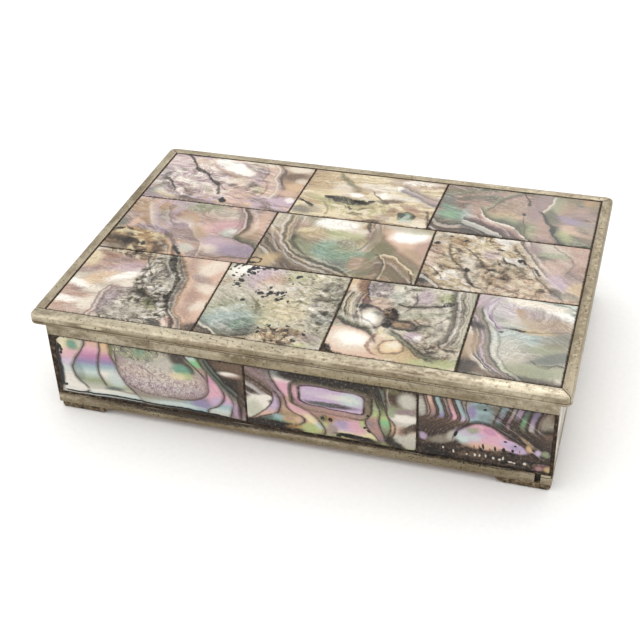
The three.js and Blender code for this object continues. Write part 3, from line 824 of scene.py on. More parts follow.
plate(
    "lid_shell_middle_1", Ground(("rose", "mauve", "blush", "lilac"), -35, 11, 2.2, 0.2, 0.3),
    (-2, 15, 9, 4, "sage"), (-10, 16, 5, 3, "lilac", 0.6), (10, 12, 8, 4, "silver", 0.7, 10),
    (2, 8, 9, 3.4, "rose", 0.75), (-6, 6, 4, 5, "plum", 0.5, 30), (-13, 6, 3.6, 5, "olive", 0.55, 25),
    (-16, 12, 4.4, 3, "gold", 0.6, 15), (-24, 11, 4, 5, "gold", 0.7, -50),
    (-20, 4, 4, 3, "gold", 0.65, -60), (-24, 2, 3.4, 4, "mauve", 0.7), (-25.5, -2, 2.4, 3, "slate"),
    (-12, -3, 7, 2.4, "violet", 0.6), (-1, -4, 6, 3.4, "mauve", 0.7, -30),
    Edge(
        ((-20.5, 13), (-18, 7), (-15.6, 2.6), (-14, 0)),
        ((-3, "gold", 0), (-0.9, "tan", 0.5), (0, "pearl", 0.6), (2.4, "lilac", 0.5), (3.4, "lilac", 0))),
    Edge(
        ((-12.5, 11), (-10.6, 6.6), (-8.4, 3), (-6, 0.6)),
        ((-2.2, "sage", 0), (-0.5, "silver", 0.6), (0, "plum", 0.5), (2, "rose", 0))),
    Edge(
        ((-6, 2), (-2.4, 2.4), (0.6, 0), (3, -4), (6, -8), (7.6, -13), (8.4, -18)),
        (
            (-3, "plum", 0), (-0.8, "mauve", 0.5), (0, "umber", 0.3), (0.7, "pearl", 0.5),
            (3, "sand", 0.5), (5, "peach", 0)),
        run="u", fade=2),
    (5, -3, 2, 5, "tan", 0.6, 35), (12.5, 4, 7, 4, "pink", 0.65, 20), (14.6, 0.8, 3, 2.4, "ice", 0.9, 40),
    (15.6, 1.4, 1.5, 1.3, "white", 0.85, 20), (12, -7, 6, 4, "lilac", 0.8, -20),
    (11, -11, 3.5, 2.4, "pearl", 0.6, -30), (20, -10, 7, 4.6, "violet", 0.7),
    (15.6, 15, 3, 5, "mauve", 0.6, 15), (23, 10, 2.4, 8, "blush", 0.7),
    (21.6, 1.5, 3.6, 4, "tan", 0.6, 20), (17.6, -1.6, 1.6, 2.6, "moss", 0.75, 10),
    Edge(
        ((13.6, 18), (17, 12), (18.8, 7), (18.4, 3), (17.2, 0)),
        (
            (-3, "mauve", 0), (-1.4, "plum", 0.6), (-0.6, "pearl", 0.6), (0, "umber", 0.6),
            (1, "tan", 0.6), (3, "blush", 0)),
        lines=(-3, 3, 1.3, 0.5)),
    Edge(
        ((17, -3), (19.5, -4.4), (22.5, -5), (26.5, -9.4)),
        (
            (-2.6, "violet", 0), (-0.4, "violet", 0.4), (0, "umber", 0.75), (0.8, "moss", 0.8),
            (4, "tan", 0.3), (6, "tan", 0)),
        run="u"),
    Grit(-17, -11.5, 13, 8, ("umber", "brown", "tan", "gold", "cream"), -12, 1.0, 0.25, 3.0),
    Grit(-4, -16, 8, 5, ("brown", "bark", "tan", "peach"), -50, 0.8, 0.5, 3.0, 0.12),
    (-12, -8.6, 5, 2, "gold", 0.7), (-20, -11.6, 6.6, 1.9, "umber", 0.85, -12),
    (-22, -14.6, 7, 1.2, "bark", 0.85, -12), (-22, -17, 5, 1.6, "ash", 0.8, -5),
    (-21.5, -6.8, 4.4, 1.1, "cream", 0.9, 5), (-8.6, -9, 2, 1.2, "cream", 0.95),
    (-9, -7.2, 2.6, 0.9, "cream"), (-17.4, -7.6, 1.6, 0.7, "cream", 0.9, -40),
    (-13.4, -11.6, 1.4, 1.1, "cream", 0.9, -30), (-12, -14.6, 1.8, 0.7, "cream", 0.9, -30),
    (-15, -17.4, 2.6, 0.9, "cream", 0.9, -45), (-20.5, 0, 1.6, 3.4, "blush"),
    (-6, -12.6, 2.4, 4.5, "bark", 0.7, 25), (-24, -5.2, 2, 0.7, "black", 0.95, 12, 0.5),
    (-12.4, -12.8, 0.9, 1.6, "black", 0.85, 20, 0.5), (-6.4, -8, 0.8, 0.7, "umber"),
    Edge(
        ((-7, -6), (-3, -9.6), (-1.4, -13), (1, -17.6)),
        ((-3, "tan", 0), (-1, "peach", 0.7), (0, "umber", 0.6), (1, "mauve", 0.6), (2.4, "mauve", 0)),
        run="u", lines=(-3, 2, 1.0, 0.4)),
    crack(((-1, -12.6), (0.8, -14.2), (2.6, -16.2)), 0.95, "black", "u"),
    (3, -12, 3, 2.4, "ice", 0.7, -30), (17, -16.4, 9, 1.4, "rose", 0.8, 4),
    crack(((9, -15), (14, -16), (19, -14.6), (26, -14.2)), 0.7, "bark", "u", 0.7),
)
plate(
    "lid_shell_middle_2", Ground(("tan", "sand", "silver", "pearl"), -30, 12, 1.6, 0.15, 0.3),
    (-24, 12, 6, 6, "silver", 0.7), (-18, 10, 5, 3, "pink", 0.6), (-14, 15, 2.6, 3.4, "olive", 0.8, 20),
    # Painted highlight: the white and pearl at the top are a glow on the polish.
    (-6, 13.4, 8, 4.4, "white", 1, 0, 0.6), (2, 10, 7, 2.6, "pearl", 0.9, 8),
    (-20, 2, 5, 12, "tan", 0.7, -10), (-24, -3, 3.6, 6, "mauve", 0.7, -20),
    (-14, 3, 5.6, 8, "moss", 0.7, -8), (-2, 7, 9, 3, "lime", 0.8, -5), (-10, 4, 4, 3.6, "tan", 0.6),
    (-16, -3, 3, 5, "sage", 0.8, 20), (-12, -5, 6, 4, "sage", 0.8, 20),
    (-5, -3, 5, 6.4, "teal", 0.95, -20), (-6, -6, 3, 2, "sky", 0.5), (3, -3, 7, 6, "sage", 0.85),
    (1, 3, 4, 3, "ash", 0.5), (8, 3, 3, 3, "cream"), (7, 5, 4, 3, "olive", 0.4),
    (1, -7, 9, 4, "teal", 0.7), (5, -12, 10, 4, "slate", 0.9), (-13, 7, 5, 4, "sand", 0.7, 30),
    (10, -7, 7, 7.6, "teal", 0.75), (8, -9, 4.8, 5, "tan", 0.9, 0, 0.6), (8, -8.6, 3, 3.2, "rose", 0.6),
    (-16, 8, 4, 1.6, "cream", 0.7, 25),
    Edge(
        ((-18.4, 3), (-17.8, -2), (-16, -5.6), (-13.4, -7.8), (-10, -9.6)),
        (
            (-2.4, "tan", 0.4), (-0.9, "silver", 0.9), (-0.2, "umber", 0.6), (0.6, "moss", 0.6),
            (2, "olive", 0)),
        run="v", fade=2),
    Edge(
        ((-29, 0), (-25, -5), (-20, -10.4), (-16, -14), (-12, -18)),
        (
            (-9, "tan", 0.9), (-3, "ash", 0.8), (-1.6, "brown", 0.7), (-0.7, "ash", 0.9),
            (0.1, "brown", 0.7), (1.2, "ash", 0.85), (2.6, "bark", 0.7), (3.6, "mauve", 0.6),
            (5.4, "bark", 0)),
        run="u", lines=(-4, 7, 0.8, 0.6), fade=0),
    Edge(
        ((-18.5, -4), (-14, -8.6), (-8, -11.2), (-2, -12.8), (4, -15.4), (8, -19)),
        (
            (-5.4, "bark", 0.8), (-4, "ash", 0.85), (-3.2, "brown", 0.6), (-2.6, "ash", 0.8),
            (-1.9, "bark", 0.7), (-1.2, "silver", 0.7), (-0.5, "umber", 0.75), (0.3, "moss", 0.7),
            (2, "sage", 0)),
        run="u", lines=(-8, 0.4, 0.8, 0.55), fade=2),
    Edge(
        ((-22, 16), (-22.6, 9), (-21.6, 3), (-19, -3), (-14.5, -8)),
        (
            (-3, "mauve", 0), (-1.6, "silver", 0.6), (-0.6, "bark", 0.7), (0.4, "cream", 0.6),
            (1.2, "bark", 0.5), (2, "tan", 0)),
        lines=(-4, 3, 1.1, 0.45)),
    (-22.6, -13.6, 5, 3, "sand", 0.85, 40), Ring(-26, -14.6, 2, 2, outline("black", 0.6, 0.9)),
    (-26.6, -16.4, 1.4, 0.9, "black", 0.9, 0, 0.5),
    Edge(
        ((9, 18), (10.6, 14), (11.6, 9), (11, 4), (9, 0)),
        (
            (-3.4, "mauve", 0.0), (-2, "mauve", 0.8), (-0.8, "blush", 0.6), (0, "pearl", 0.85),
            (0.6, "umber", 0.4), (1.4, "tan", 0.6), (3, "bark", 0)),
        lines=(-3, 1, 1.2, 0.4)),
    crack(((3.6, 18), (5, 15), (6.6, 12)), 0.9, "umber", alpha=0.75), (8, 9, 2, 3, "plum", 0.6),
    (21, 7, 9, 12, "blush", 0.9, 30), (27, 4, 3, 8, "rose"), (21, 12, 6.4, 4.4, "white", 1, 10, 0.7),
    (15, 17, 7, 2.4, "silver", 0.8, -20), (24, 16, 4, 2, "sage", 0.6), (24, 0, 5, 3, "tan", 0.7, -45),
    Edge(
        ((9, 17), (13, 9), (17, 4), (22, -1), (28, -7)),
        (
            (-4, "olive", 0.6), (-1.6, "olive", 0.7), (-0.4, "bark", 0.7), (0.8, "tan", 0.4),
            (2, "blush", 0)),
        run="u"),
    (14, 3, 4, 3, "olive", 0.8, -30),
    Edge(
        ((12.6, -2.4), (14, -1), (17.6, -1.4), (21, -4.6), (24, -8), (27, -10.4)),
        (
            (-14, "tan", 1), (-5, "bark", 1), (-2, "tan", 0.9), (-0.6, "sand", 0.8), (0, "cream", 0.7),
            (0.4, "umber", 0.6), (1, "tan", 0)),
        run="u", lines=(-10, 0, 1.8, 0.35), fade=0.4),
    Edge(
        ((13.4, -2), (15.4, -6), (16.4, -10), (16, -16), (16, -19)),
        ((-2, "slate", 0), (-0.5, "umber", 0.7), (0, "cream", 0.7), (0.6, "bark", 0.5), (2.4, "tan", 0))),
    (20, -13, 5, 3, "olive", 0.5), crack(((25, -10), (27, -13), (27.6, -17)), 0.5, "umber", alpha=0.7),
)
plate(
    "lid_shell_middle_3", Ground(("bark", "tan", "blush", "silver"), -50, 7, 3.0, 0.4, 0.7),
    Grit(-12, 2, 19, 20, ("umber", "tan", "sand", "cream", "pearl", "white"), -50, 0.9, 0.4, 2.0, 0.2),
    Grit(2, -9, 15, 9, ("brown", "tan", "blush", "cream", "pearl"), -20, 0.85, 0.5, 1.8, 0.16),
    (-22, 13, 3, 5, "silver", 0.6), (-18, 11, 5, 3, "gold", 0.6, -40), (-24, 2, 3, 9, "blush", 0.7),
    (-18, -2, 3.4, 3, "sand", 0.7), (-11, -1, 6, 2.4, "pearl", 0.8, -55),
    (-6, 9, 6, 2.4, "cream", 0.7, -45), (-2, 16, 3, 2, "white", 0.9), (-5, 6, 3, 3, "lilac", 0.6),
    (-9, -9, 3, 6, "pearl", 0.5, 35), (2, 3.6, 3, 1.6, "white", 0.9, -30),
    (6, 2, 1.6, 0.8, "white", 0.9, 30), (0, -9, 4, 3, "tan", 0.6, 20), (4, -1, 5, 3, "olive", 0.4, -20),
    Edge(
        ((2, 17.5), (5.6, 12), (8.6, 7), (12, 1), (16, -4), (20.5, -9)),
        (
            (-4, "sand", 0), (-2, "silver", 0.5), (-0.7, "pearl", 0.6), (0, "bark", 0.6),
            (1.4, "mauve", 0.7), (3, "rose", 0)),
        run="u", lines=(-4, 5, 1.3, 0.6)),
    Edge(
        ((4, 20), (8, 12.6), (12, 6), (16, 0), (21, -5), (27, -9)),
        ((-1.4, "blush", 0), (0, "mauve", 0.8), (3, "mauve", 0.8), (9, "rose", 0.7)), run="u",
        lines=(-2, 9, 1.6, 0.35), fade=0),
    (14, 14, 7, 3.6, "silver", 0.8, -30), (15, 10.4, 6, 1.8, "sage", 0.85, -3),
    (12, 8.2, 2.4, 1, "moss", 0.8, -10), (8, 13, 3, 3, "mauve", 0.7, -30),
    (18, -5, 3, 6, "lilac", 0.7, 30), (16, 3, 5, 4, "blush", 0.5, -40), (25, 8, 3.6, 9, "rose", 0.7),
    (25, 3.4, 2.6, 2, "rust", 0.4),
    crack(((14, 18), (16, 15), (19.6, 11), (22, 7), (21, 2), (20.6, 0)), 0.6, "bark", alpha=0.6),
    (24.4, -8, 2.6, 4, "sand"), (18.6, -12.4, 2, 3.2, "umber", 0.7, 25), (13.6, -12, 1.4, 1.6, "brown"),
    (23, -13, 3, 2, "moss", 0.6), (-3, 9.8, 1.4, 0.7, "black", 0.9, 0, 0.5),
    (-24.2, 9.2, 1.2, 1, "black", 0.95, 20, 0.5), (-15.2, 13, 0.6, 0.8, "black", 0.9, 0, 0.5),
    (-20.4, 14.2, 0.6, 0.5, "black", 0.8, 0, 0.5), (4.4, 4.4, 0.9, 1.1, "black", 0.95, -20, 0.5),
    crack(((5.4, 5), (6.6, 3)), 0.7, "black"),
    crack(((-0.8, 4), (1, 1.9), (3, 1.2)), 0.7, "black", "u", 0.85),
    (-2.2, 0.6, 0.5, 0.9, "black", 0.85, 0, 0.5), (-3.2, -3.2, 1.6, 0.7, "umber", 0.9, -30),
    (-11.2, -4.6, 0.7, 1.1, "black", 0.9, 20, 0.5), (0.6, -7.2, 1, 0.8, "umber"),
    crack(((9.8, 0.6), (11, -1), (12.2, -3)), 0.7, "black"),
    crack(((-20, 9), (-18.6, 3), (-16, -1), (-12, -5)), 0.6, "brown", alpha=0.7),
    crack(((-11, -6), (-9.6, -11), (-5, -15)), 0.7, "umber", alpha=0.75),
    crack(((-14, 8), (-10, 4), (-7, -1)), 0.7, "brown", alpha=0.7),
    (-8.6, -12.6, 1.4, 0.7, "umber", 0.8, -30), (-24.5, -13.6, 2.4, 3, "umber", 0.95, 30),
    Edge(
        ((-25, -9), (-21, -12.4), (-17, -17)),
        ((-2, "umber", 0), (-0.8, "brown", 0.6), (0.4, "sand", 0.5), (3, "tan", 0)), run="u",
        lines=(-2, 6, 1.2, 0.7)),
)
plate(
    "lid_shell_back_1", Ground(("mauve", "lilac", "blush", "pearl"), -40, 8, 3.0, 0.4, 0.5),
    (-24, 8, 5, 9, "lilac", 0.6), (-23, -10, 3, 5, "ice", 0.8, -20), (-26, -4, 2, 10, "slate", 0.5),
    Grit(-14, -2, 13, 13, ("bark", "mauve", "lilac", "pearl", "white"), -40, 0.8, 0.6, 3.2, 0.15),
    # Painted highlight: the two white patches are a glow on the polish.
    (-3, 12, 9, 3.8, "white", 1, -28, 0.6), (4, 8, 3.4, 3, "white"), (2, 4.6, 5, 1.8, "tan", 0.7, -15),
    (7, 14, 5, 4, "silver", 0.6, -50), (10, 10, 2, 5, "mauve", 0.6, 20), (4, 0, 7, 2, "pearl", 0.7),
    Grit(8, -3, 7, 5, ("brown", "mauve", "blush", "pearl"), -40, 0.75, 0.6, 2.6, 0.12),
    (2, -2, 1.8, 1.2, "bark"), (9, -1, 1.6, 2, "umber", 0.6), (12.6, -3, 2.4, 2.6, "lime", 0.45),
    (15, 6, 3, 9, "blush", 0.7), (-6, -7, 6, 3, "pearl", 0.5, -45), (-13, -9, 2, 2.6, "bark", 0.5, 40),
    (-12, -13, 1.6, 1.2, "brown", 0.6), (-20, -14, 5, 2, "cream", 0.6, -25), (6, -10, 5, 4, "blush", 0.6),
    Edge(
        ((13.4, 18), (17, 14), (18, 9), (17.8, 5), (20, 1), (20.8, -3), (19.6, -8)),
        (
            (-4, "blush", 0), (-1.4, "pearl", 0.8), (-0.3, "bark", 0.6), (0.5, "umber", 0.75),
            (1.4, "tan", 0.9), (8, "tan", 0.8)),
        lines=(-6, 0, 1.5, 0.3), step=-0.05, fade=1),
    (23, 15, 5, 2.6, "pearl", 0.9, -10), (22.6, 9, 4.6, 2.6, "bark", 0.8, 15),
    (26, 6, 2.4, 2, "pearl", 0.6), (25, 1, 4, 3, "peach", 0.7), (23, -4, 4, 2.4, "blush"),
    (22.4, -6.2, 1, 0.8, "rust", 0.6), (24, -9.6, 5, 2.8, "lilac", 0.95),
    (26, -8.5, 2, 1.6, "white", 0.7),
    crack(
        ((-23.5, 17.5), (-20, 13.4), (-17, 9.6), (-15.6, 7), (-10.6, 4.2), (-7.6, 0.4), (-4, -2)), 0.85,
        "umber", "u", 0.9, step=-0.06),
    crack(((-4.6, -2), (-3, -5), (-1.8, -9.6)), 0.75, "umber", alpha=0.75),
    crack(((-5, -1.6), (-2.6, -3.6), (-0.4, -5.4)), 0.5, "brown", "u", 0.6),
    crack(((-25, -2.6), (-22, -4), (-20, -6.6), (-18.4, -9.6)), 0.8, "umber", "u", 0.8),
    crack(((-24.6, 2), (-26, -1), (-25, -3)), 0.8, "slate", alpha=0.8),
    crack(((-19, -6), (-15, -8), (-13.6, -10)), 0.6, "brown", "u", 0.5),
    crack(((-18, -10), (-14, -14), (-10, -16)), 0.5, "bark", "u", 0.6),
    (1.2, -13.8, 1.7, 1.2, "black", 1, -30, 0.7), (0.8, -12.6, 0.7, 1.2, "black", 0.9, 20, 0.5),
    (-1, -16, 26, 1.2, "bark", 0.35),
)
plate(
    "lid_shell_back_2", Ground(("tan", "sand", "cream", "pearl"), 5, 8, 2.8, 0.3, 0.5),
    (-19, 8, 6, 6, "sand", 0.6), (-4, 14, 12, 2.4, "cream"), (14, 14.6, 9, 1.6, "white", 0.8, 4),
    (7, 14, 2.4, 3, "tan", 0.6), (17, 11.6, 8, 1.4, "rose", 0.5, 6), (2, 8, 10, 2.4, "pearl", 0.8, 5),
    (18, 8, 7, 1.8, "cream", 0.7, 10), (10, 10, 1.6, 1.4, "white", 0.9),
    Edge(
        ((-14, 14.6), (-11, 11), (-8, 8), (-5, 5.4)),
        (
            (-2.4, "moss", 0), (-0.9, "moss", 0.7), (0.4, "olive", 0.75), (1.2, "sand", 0.4),
            (2.4, "cream", 0)),
        run="u", fade=2),
    (-2, 5, 6, 1.4, "tan", 0.6), (-11, 3, 4, 4, "pearl", 0.7, -45), (-16, 0, 6, 3, "cream", 0.6),
    (-22, -2.6, 3, 2, "tan", 0.6), (-15, -6, 8, 2.2, "lime", 0.5, -30),
    Grit(-2, -7, 11, 6, ("umber", "tan", "lime", "cream", "pearl"), 0, 0.9, 0.5, 2.2, 0.18),
    Grit(-8, -3.6, 8, 2.4, ("black", "umber", "slate", "silver"), -5, 0.8, 0.5, 1.8, 0.2),
    (-5, 1, 2.6, 1.6, "white", 0.95), (-1, -1, 2.2, 1, "pearl"), (5, 3, 2, 1.8, "white", 0.9, 20),
    (8, 4, 3, 1.6, "pearl", 0.7), (-14.6, -2.4, 2.2, 1, "black", 0.9, -10, 0.5),
    (-12.6, -2.6, 2.6, 1.2, "umber", 0.6), (-4, -2.9, 1.6, 0.9, "black", 0.95, -30, 0.5),
    (-1.4, -3.8, 2.4, 0.9, "black", 1, 0, 0.5), (1, -2.4, 1.4, 0.9, "black", 0.9, 35, 0.5),
    (1.6, -3.4, 1.6, 0.8, "mauve", 0.6),
    crack(((1, 4), (2.6, 1.4), (5, -0.6), (7, -2.4)), 0.7, "brown", "u", 0.7),
    (8, -0.6, 5, 1.3, "bark", 0.85, 8), (6, -2.2, 1.6, 1, "brown", 0.7), (3, -6, 6, 2.4, "cream", 0.4),
    (10.6, -6.4, 2.2, 1.8, "rust", 0.55), (17, -4.6, 4, 1.8, "rose", 0.7, -30),
    (17.5, -5.4, 2.4, 1, "rust", 0.4),
    Edge(
        ((11, 7.6), (16, 4.4), (20, 1.6), (26, -2)),
        (
            (-2.4, "sand", 0), (-1.4, "silver", 0.6), (-0.6, "umber", 0.4), (0.6, "violet", 0.8),
            (3, "ash", 0.85), (4.4, "mauve", 0.6), (6, "rose", 0)),
        run="u", lines=(-1, 5, 1.4, 0.3)),
    (22, 3, 4, 2, "rose", 0.4, -20),
    Ring(
        16, -9.8, 3.6, 3.8,
        (
            (-3, "slate", 0.95), (-1.6, "teal", 0.9), (-0.6, "umber", 0.6), (0.2, "sand", 0.5),
            (1.4, "rose", 0)),
        rise=-0.08),
    (14.4, -9, 1.6, 1.6, "black", 0.7, 0, 0.5), (18.4, -9, 1.4, 1.2, "black", 0.6, 0, 0.5),
    (16.6, -12.8, 2.6, 1.2, "ice", 0.9), (16.4, -10, 0.9, 1.8, "ice", 0.6, -20),
    (21, -13, 2, 3, "pearl", 0.6), crack(((22.6, -5), (23.4, -9), (24, -14)), 0.6, "umber", alpha=0.7),
    crack(((-25, -6.4), (-22.4, -8), (-19, -10)), 0.9, "black", "u", 0.95),
    (-22, -13.4, 4, 2.6, "umber", 0.6), (-18, -12, 3, 2, "ash", 0.6), (5, -16, 3, 1.2, "brown"),
    (8, -13, 2.6, 2.4, "mauve", 0.5), crack(((-16, -6), (-13, -10), (-12, -14)), 0.6, "bark", alpha=0.5),
)
plate(
    "lid_shell_back_3", Ground(("moss", "bark", "rose", "mauve"), -40, 10, 2.0, 0.2, 0.3),
    (-22, 13, 8, 3, "olive", 0.7, 5), (-22, 16, 6, 1.6, "mauve", 0.6, 5),
    (-10, 13, 8, 2.2, "rose", 0.6, 15), (-14, 9.6, 6, 1.4, "moss", 0.6, 15),
    (-25, 6, 3.4, 4, "slate", 0.85), (-24, 1, 3, 1.6, "teal"), (-22, -4, 5, 4.4, "teal", 0.95),
    (-22.6, -4.6, 2.6, 2.4, "green", 0.4), (-16.6, -3, 2, 6, "sky", 0.8, -5),
    (-13, 1, 4, 7, "rose", 0.7, 10), (-6, 1, 7, 5, "tan", 0.5, 20), (-3, -2, 8, 3, "sand", 0.6, 5),
    (0, 6, 5, 5, "tan", 0.6, 30), (-2, -5, 6, 1.8, "sage", 0.7, -5),
    Edge(
        ((1.6, 15), (-3, 11.8), (-6.6, 7.6), (-9, 2), (-11.4, -1)),
        (
            (-3, "rose", 0), (-1, "rose", 0.5), (-0.2, "bark", 0.7), (0.5, "moss", 0.75),
            (1.6, "sage", 0.5), (3.4, "sand", 0)),
        run="u"),
    Edge(
        ((-11.4, -1), (-9.6, -4), (-6, -6), (-3, -6.4), (1, -9), (4, -13), (7, -17)),
        (
            (-7, "bark", 0.4), (-3.4, "plum", 0.7), (-1.6, "rose", 0.9), (-0.5, "pearl", 0.7),
            (0, "umber", 0.7), (0.8, "moss", 0.8), (2.6, "sage", 0.5), (4, "sage", 0)),
        run="u", lines=(-6, 1, 1.2, 0.5), fade=2),
    (3, -8.6, 2.6, 4, "moss", 0.7, 20), (7, -8, 3, 6, "lime", 0.4),
    Edge(
        ((-28, -8), (-23, -12), (-18, -11), (-13, -11.6), (-9, -15.4)),
        (
            (-6, "umber", 0.8), (-2, "bark", 0.85), (-1, "silver", 0.6), (0, "umber", 0.8),
            (1, "moss", 0.7), (2.4, "teal", 0)),
        run="u", lines=(-6, 1, 1.1, 0.6), fade=1),
    Edge(
        ((-17, -7), (-11, -9.6), (-6, -12), (-2, -15), (0, -18)),
        (
            (-3, "umber", 0.6), (-1.2, "slate", 0.7), (-0.4, "pearl", 0.5), (0, "umber", 0.6),
            (1.2, "plum", 0.6), (3, "rose", 0)),
        run="u", lines=(-3, 3, 1.1, 0.5), fade=1),
    (8, 10, 3.4, 9, "mauve", 0.85, -8), (8, 1, 3.6, 7, "mauve"), (11, -8, 3, 7, "rose", 0.7, 10),
    (14, 9, 2.6, 7, "sage", 0.85, -10), (13, 2, 1.8, 5, "moss", 0.8, 25), (17, 10, 3, 7, "tan", 0.6),
    (22, 5, 6, 3, "mauve", 0.7, 30), (20, 0, 6, 1.8, "violet", 0.85, -20),
    (25, -3, 4, 3, "ash", 0.7, -30), (23, 9, 5, 2, "rose", 0.6, 30), (19, 15, 4, 3, "olive", 0.6),
    (24.6, 13.6, 2.8, 2.4, "gold", 0.9, -20), (26, 11, 2, 4, "olive", 0.5),
    (19, -6, 3, 3, "blush", 0.7, -30), (18, -11, 3, 4, "lime", 0.7, 20),
    (24, -11, 5, 4, "olive", 0.4, 30), (23, -8, 4, 1.4, "blush", 0.5, -20),
    crack(((0.4, 17), (1.4, 13.6), (3, 10.6), (3.6, 7.4)), 0.6, "umber", alpha=0.8),
    (2.6, 0.5, 0.7, 1.2, "black", 0.9, 0, 0.5),
    crack(((3, -2), (4, -7), (4.6, -13)), 0.4, "brown", alpha=0.6),
    Edge(
        ((12.4, 15), (11.4, 9), (10, 4)),
        ((-1.2, "mauve", 0), (-0.4, "pearl", 0.8), (0.5, "sage", 0.6), (1, "sage", 0))),
    Edge(
        ((9, 3.4), (11, 0), (12, -3), (14, -6), (13.8, -9), (15.6, -12), (18, -17.5)),
        (
            (-2, "rose", 0), (-0.8, "bark", 0.4), (-0.4, "black", 0.9), (0.4, "black", 0.9),
            (0.9, "moss", 0.8), (3, "olive", 0)),
        fade=1, step=-0.05),
    (14.2, -8.6, 0.9, 2, "black", 0.9, 10, 0.5), (5, -16, 24, 1.2, "umber", 0.35),
)

